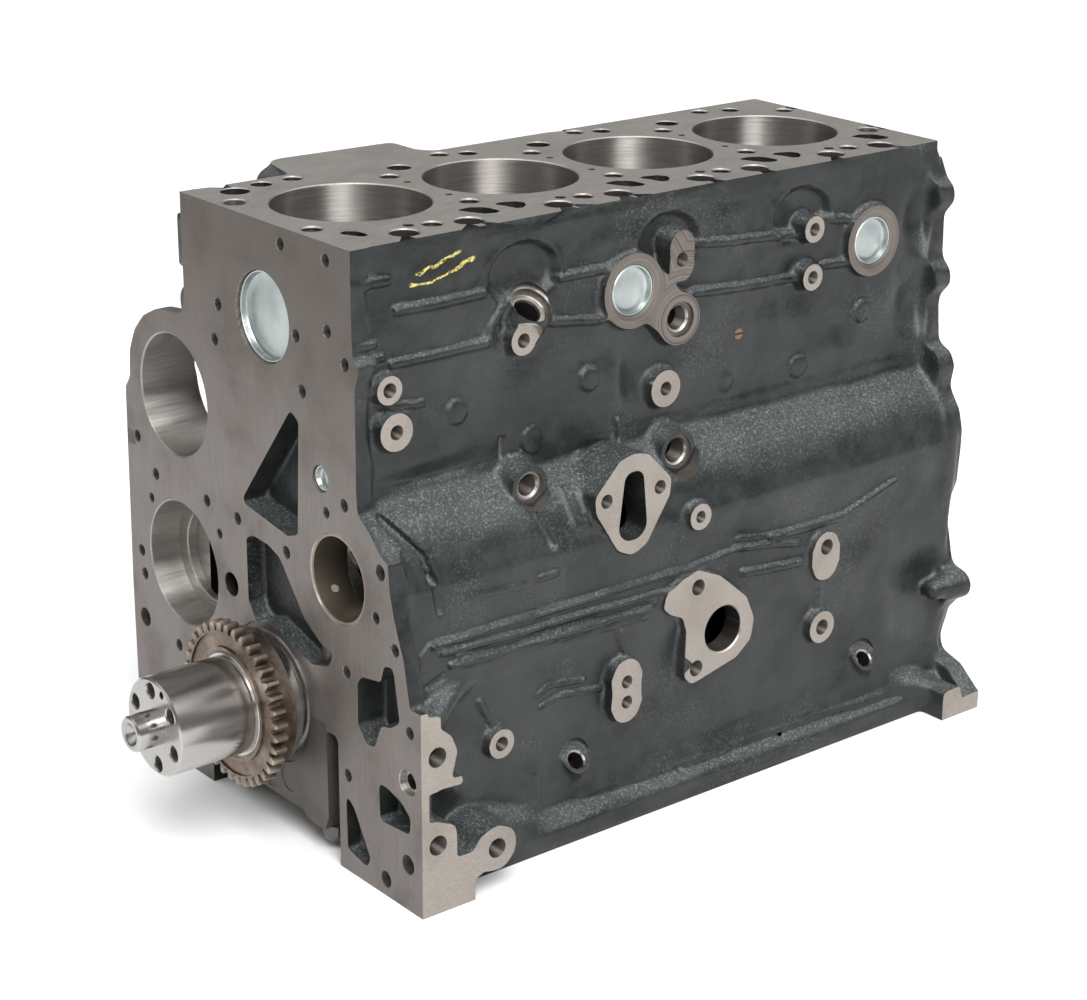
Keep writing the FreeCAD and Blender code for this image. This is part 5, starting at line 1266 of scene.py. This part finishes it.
# ------------------------------------------------------------------ crankshaft
nose_m = piece_mat("crank_turned", rings, (0.46, 0.45, 0.435), 0, (0, 0), 0.00055, (0.14, 0.24), 0.98, 0.00002, 0.12, True, (0.36, 0.35, 0.34))
nosef_m = piece_mat("crank_faced", rings, (0.40, 0.39, 0.375), 0, (-0.00485, 0.1), 0.0007, (0.20, 0.30), 0.97, 0.00002, 0.12, False, (0.31, 0.30, 0.29))
forge_m = piece_mat("crank_forged", cast_paint, 2.2, 0.8, False)
hole_m = mats["hole_steel"]
CM = [nose_m, nosef_m, forge_m, hole_m]
CCUT = bpy.data.collections.new("ccut")
bpy.context.scene.collection.children.link(CCUT)
NOSE_X, STUB_X = -92.6, -111.0
prof = [(STUB_X, 0, 1), (STUB_X, 11.2, 0), (STUB_X + 1.3, 12.5, 0), (NOSE_X - 0.0, 12.5, 1), (NOSE_X, 32.9, 0), (NOSE_X + 1.4, 34.3, 0),
        (-33.5, 34.3, 0), (-33.5, 36.0, 0), (-33.0, 36.5, 0), (-11.0, 36.5, 1), (-11.0, 46.9, 0), (-10.4, 47.5, 0),
        (-5.6, 47.5, 0), (-5.0, 46.9, 1), (-5.0, 41.5, 0), (32.4, 41.5, 0), (32.4, 38.0, 1), (33.4, 0, 1)]
shaft = lathe("crank_main", prof, (0, 0, 0), (1, 0, 0), 160, None, mats=CM)
UN = bpy.data.collections.new("cunion")
bpy.context.scene.collection.children.link(UN)


def web(zs, n=26):
    P = []
    for k in range(n + 1):
        a = math.radians(-72 + 144 * k / n)
        P.append((46 * math.sin(a), zs * (52 + 46 * math.cos(a))))
    P += [(56.0, zs * 6.0)]
    for k in range(n + 1):
        a = math.radians(58 - 116 * k / n)
        P.append((88 * math.sin(a), -zs * 88 * math.cos(a)))
    P += [(-56.0, zs * 6.0)]
    return P


for i, xb in enumerate(BORES):
    s_ = (1, -1, -1, 1)[i]
    lathe("pin", [(-21, 0, 0), (-21, 35, 0), (21, 35, 0), (21, 0)], (xb, 0, s_ * 60.0), (1, 0, 0), 72, UN, mats=CM)
    for (a, b) in ((-42, -20), (20, 42)):
        W = web(s_)
        W1 = offs(W, -2.0)
        n = len(W1)
        w0 = offs(W, 0.0)
        V, F = [], []
        for (t, Q) in ((a, W1), (a + 2.0, w0), (b - 2.0, w0), (b, W1)):
            V += [(xb + t, p, q) for (p, q) in Q]
        for L in range(3):
            F += [(L * n + k, L * n + (k + 1) % n, (L + 1) * n + (k + 1) % n, (L + 1) * n + k) for k in range(n)]
        F += [tuple(range(n)), tuple(range(4 * n - 1, 3 * n - 1, -1))]
        build("web", V, F, 2, UN, CM)
for (a, b) in ((114.4, 159.4), (239.4, 284.4), (364.4, 409.4)):
    lathe("jr", [(a, 0, 0), (a, 41.5, 0), (b, 41.5, 0), (b, 0)], (0, 0, 0), (1, 0, 0), 96, UN, mats=CM)
lathe("rearj", [(489, 0, 0), (489, 41.5, 0), (533, 41.5, 0), (533, 51, 0), (534, 51, 0), (534, 57.2, 0), (534.8, 58, 0),
                (555, 58, 0), (556, 57, 1), (556, 0)], (0, 0, 0), (1, 0, 0), 128, UN, mats=CM)


def boolean(o, col, op):
    md = o.modifiers.new("b", "BOOLEAN")
    md.operation, md.operand_type, md.collection, md.solver = op, "COLLECTION", col, "MANIFOLD"
    new = baked(o, o.name)
    o.modifiers.clear()
    o.data = new
    for q in list(col.objects):
        bpy.data.objects.remove(q)
    bpy.data.collections.remove(col)


bpy.context.scene.collection.objects.link(shaft)
boolean(shaft, UN, "UNION")


def chole(o, d, r, depth, n=24, thread=1.5, cham=0.9):
    P = [(-8.0, 0, 3), (-8.0, r + cham, 3), (0.0, r + cham, 1), (cham, r, 3)]
    t = cham + 0.4
    while t < min(depth - 2, 15.0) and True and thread:
        P += [(t, r - 0.4, 3), (t + thread / 2, r + 0.3, 3)]
        t += thread
    P += [(depth, r, 3), (depth + r * 0.5, 0, 3)]
    return lathe("ch", P, o, d, n, CCUT, mats=CM)


for ang in (24.0, 84.0, 144.0, 204.0, 264.0, 324.0):
    chole((NOSE_X, 26.0 * math.cos(math.radians(ang)), 26.0 * math.sin(math.radians(ang))), (1, 0, 0), 5.2, 28.0, 28)
chole((NOSE_X, 29.6 * math.cos(math.radians(112.8)), 29.6 * math.sin(math.radians(112.8))), (1, 0, 0), 2.6, 8.0, 18, 0, 0.3)
lathe("cd", [(-6, 0, 1), (-6, 8.8, 1), (0, 8.8, 1), (0.8, 7.6, 1), (8.0, 3.2, 3), (8.2, 2.5, 3), (17, 2.5, 3), (18.5, 0)],
      (STUB_X, 0, 0), (1, 0, 0), 48, CCUT, mats=CM)
for k in range(8):
    a = math.radians(22.5 + 45.0 * k)
    chole((556.0, 44.0 * math.cos(a), 44.0 * math.sin(a)), (-1, 0, 0), 5.2, 20.0, 20)
lathe("sp", [(-6, 0, 1), (-6, 27, 1), (0, 27, 1), (1, 26, 0), (12, 26, 1), (12, 0)], (556, 0, 0), (-1, 0, 0), 72, CCUT, mats=CM)
for i, xb in enumerate(BORES):
    s_ = (1, -1, -1, 1)[i]
    lathe("oilh", [(-6, 0, 3), (-6, 4.0, 3), (0.4, 4.0, 3), (1.4, 3.0, 3), (20, 3.0, 3), (20, 0)], (xb, 0, s_ * 95.0), (0, 0, -s_), 18, CCUT, mats=CM)
boolean(shaft, CCUT, "DIFFERENCE")
bpy.context.scene.collection.objects.unlink(shaft)
adopt(shaft, "crankshaft", "crank")

# ------------------------------------------------------------------ crank gear
def gear_outline(n, m, dr=0.0, thin=0.0, twist=0.0, backlash=0.12):
    rp = m * n / 2.0
    ra, rf = rp + m - dr, rp - 1.25 * m
    rb = rp * math.cos(math.radians(20.0))
    inv = lambda r: math.tan(math.acos(min(1.0, rb / r))) - math.acos(min(1.0, rb / r))
    half = math.pi / (2 * n) - (backlash + thin) / (2 * rp)
    base = half + inv(rp)
    rs = [max(rf, rb), rp - 0.5 * m, rp, rp + 0.5 * m, ra]
    P = []
    for k in range(n):
        c = 2 * math.pi * k / n + math.radians(1.2) + twist
        g = math.pi / n
        Q = [(rf, c - g * 0.985), (rf + 0.25, c - base - 0.004)]
        Q += [(r, c - (base - inv(r))) for r in rs] + [(r, c + (base - inv(r))) for r in reversed(rs)]
        Q += [(rf + 0.25, c + base + 0.004)]
        P += [(r * math.cos(a), r * math.sin(a)) for (r, a) in Q]
    return P


def oily(mat):
    M = Mat(mat)
    a = M.noise(55.0, 4.0, 0.6)
    b = M.noise(420.0, 3.0, 0.6)
    c = M.mix(M.rng(a, 0.35, 0.68, 0, 1, True), (0.105, 0.075, 0.055), (0.25, 0.205, 0.165))
    c = M.mix(M.rng(b, 0.5, 0.75, 0, 0.5), c, (0.07, 0.05, 0.038))
    # painted highlight: tooth tips and convex edges painted lighter
    c = M.mix(M.math("MULTIPLY", M.point(0.52, 0.60), 0.6), c, (0.42, 0.37, 0.31))
    r = M.math("ADD", M.rng(a, 0.3, 0.7, 0.26, 0.46), M.rng(b, 0.3, 0.7, -0.05, 0.06))
    M.set(c, r, 0.88, M.bump(b, 0.3, 0.00015), 0.5)


gear_m = piece_mat("gear_oily", oily)
o0, o1 = gear_outline(37, 3.0, 0.9, 0.5), gear_outline(37, 3.0)
n = len(o0)
V = []
for (t, Q) in ((-34.0, o0), (-33.1, o1), (-24.9, o1), (-24.0, o0)):
    V += [(t, p, q) for (p, q) in Q]
F = []
for L in range(3):
    F += [(L * n + k, L * n + (k + 1) % n, (L + 1) * n + (k + 1) % n, (L + 1) * n + k) for k in range(n)]
F += [tuple(range(n)), tuple(range(4 * n - 1, 3 * n - 1, -1))]
gear = build("crank_timing_gear", V, F, 0, None, [gear_m])
bpy.context.scene.collection.objects.link(gear)
GU = bpy.data.collections.new("gu")
bpy.context.scene.collection.children.link(GU)
lathe("hub", [(-26.0, 0, 0), (-26.0, 50.0, 0), (-12.2, 50.0, 0), (-11.2, 49.0, 0), (-11.2, 0, 0)], (0, 0, 0), (1, 0, 0), 128, GU, mats=[gear_m])
boolean(gear, GU, "UNION")
GC = bpy.data.collections.new("gc")
bpy.context.scene.collection.children.link(GC)
lathe("gb", [(-36, 0, 0), (-36, 38.1, 0), (-34.0, 38.1, 0), (-32.9, 36.52, 0), (-9.0, 36.52, 0), (-9.0, 0)], (0, 0, 0), (1, 0, 0), 128, GC, mats=[gear_m])
lathe("gr", [(-38, 50.6, 0), (-38, 40.6, 0), (-32.6, 40.6, 0), (-32.6, 50.6, 0)], (0, 0, 0), (1, 0, 0), 128, GC, closed=True, mats=[gear_m])
boolean(gear, GC, "DIFFERENCE")
bpy.context.scene.collection.objects.unlink(gear)
adopt(gear, "crank_gear", "crank")

# ------------------------------------------------------------------ stage, lights, camera
def area(name, loc, target, size, power, color=(1, 1, 1), sy=None):
    L = bpy.data.lights.new(name, "AREA")
    L.shape = "RECTANGLE"
    L.size, L.size_y = size, sy or size
    L.energy, L.color = power, color
    o = bpy.data.objects.new(name, L)
    o.location = loc
    o.rotation_mode = "QUATERNION"
    o.rotation_quaternion = (Vector(target) - Vector(loc)).to_track_quat("-Z", "Y")
    bpy.context.scene.collection.objects.link(o)
    return o


fl = bpy.data.meshes.new("floor")
fl.from_pydata([(-14, -14, 0), (14, -14, 0), (14, 14, 0), (-14, 14, 0)], [], [(0, 1, 2, 3)])
flo = bpy.data.objects.new("floor", fl)
bpy.context.scene.collection.objects.link(flo)
fm = bpy.data.materials.new("floor")
FMt = Mat(fm)
FMt.set((0.93, 0.93, 0.93), 0.6, 0.0, None, 0.1)
fl.materials.append(fm)
flo.location = (0, 0, -0.0002)

w = bpy.data.worlds.new("world")
bpy.context.scene.world = w
w.use_nodes = True
nt = w.node_tree
bg = nt.nodes["Background"]
wt = nt.nodes.new("ShaderNodeTexCoord")
ws = nt.nodes.new("ShaderNodeSeparateXYZ")
wr = nt.nodes.new("ShaderNodeValToRGB")
cr = wr.color_ramp
for p_, v_ in ((0.03, 0.30), (0.12, 0.16), (0.50, 0.20), (0.68, 1.0)):
    e_ = cr.elements.new(p_)
    e_.color = (v_, v_, v_, 1)
cr.elements[0].color = (0.34, 0.34, 0.34, 1)
cr.elements[-1].color = (1, 1, 1, 1)
wm = nt.nodes.new("ShaderNodeMath")
wm.operation = "MULTIPLY"
wm.inputs[1].default_value = 1.22
nt.links.new(wt.outputs["Generated"], ws.inputs[0])
nt.links.new(ws.outputs[2], wr.inputs[0])
nt.links.new(wr.outputs[0], wm.inputs[0])
nt.links.new(wm.outputs[0], bg.inputs[1])
bg.inputs[0].default_value = (1, 1, 1, 1)
area("softbox", (-0.9, -2.6, 1.6), (-0.05, 0, 0.2), 1.5, 44, sy=1.1)
sun = bpy.data.lights.new("sun", "SUN")
sun.energy, sun.angle = 2.0, math.radians(30)
so = bpy.data.objects.new("sun", sun)
so.rotation_mode = "QUATERNION"
so.rotation_quaternion = (-Vector((-0.30, -0.50, 0.81))).to_track_quat("-Z", "Y")
bpy.context.scene.collection.objects.link(so)

cam = bpy.data.cameras.new("camera")
co = bpy.data.objects.new("camera", cam)
bpy.context.scene.collection.objects.link(co)
cam.sensor_width = 36.0
cam.sensor_fit = "HORIZONTAL"
cam.lens = 83.7345
R = Matrix(((0.77882, 0.21207, -0.59031), (-0.62722, 0.27279, -0.72951), (0.00632, 0.93841, 0.34547)))
co.matrix_world = Matrix.Translation((-1.07692, -1.35359, 0.82489)) @ R.to_4x4()
cam.clip_start, cam.clip_end = 0.05, 60.0
bpy.context.scene.camera = co
bpy.context.scene.view_settings.view_transform = "Standard"

bpy.context.view_layer.update()
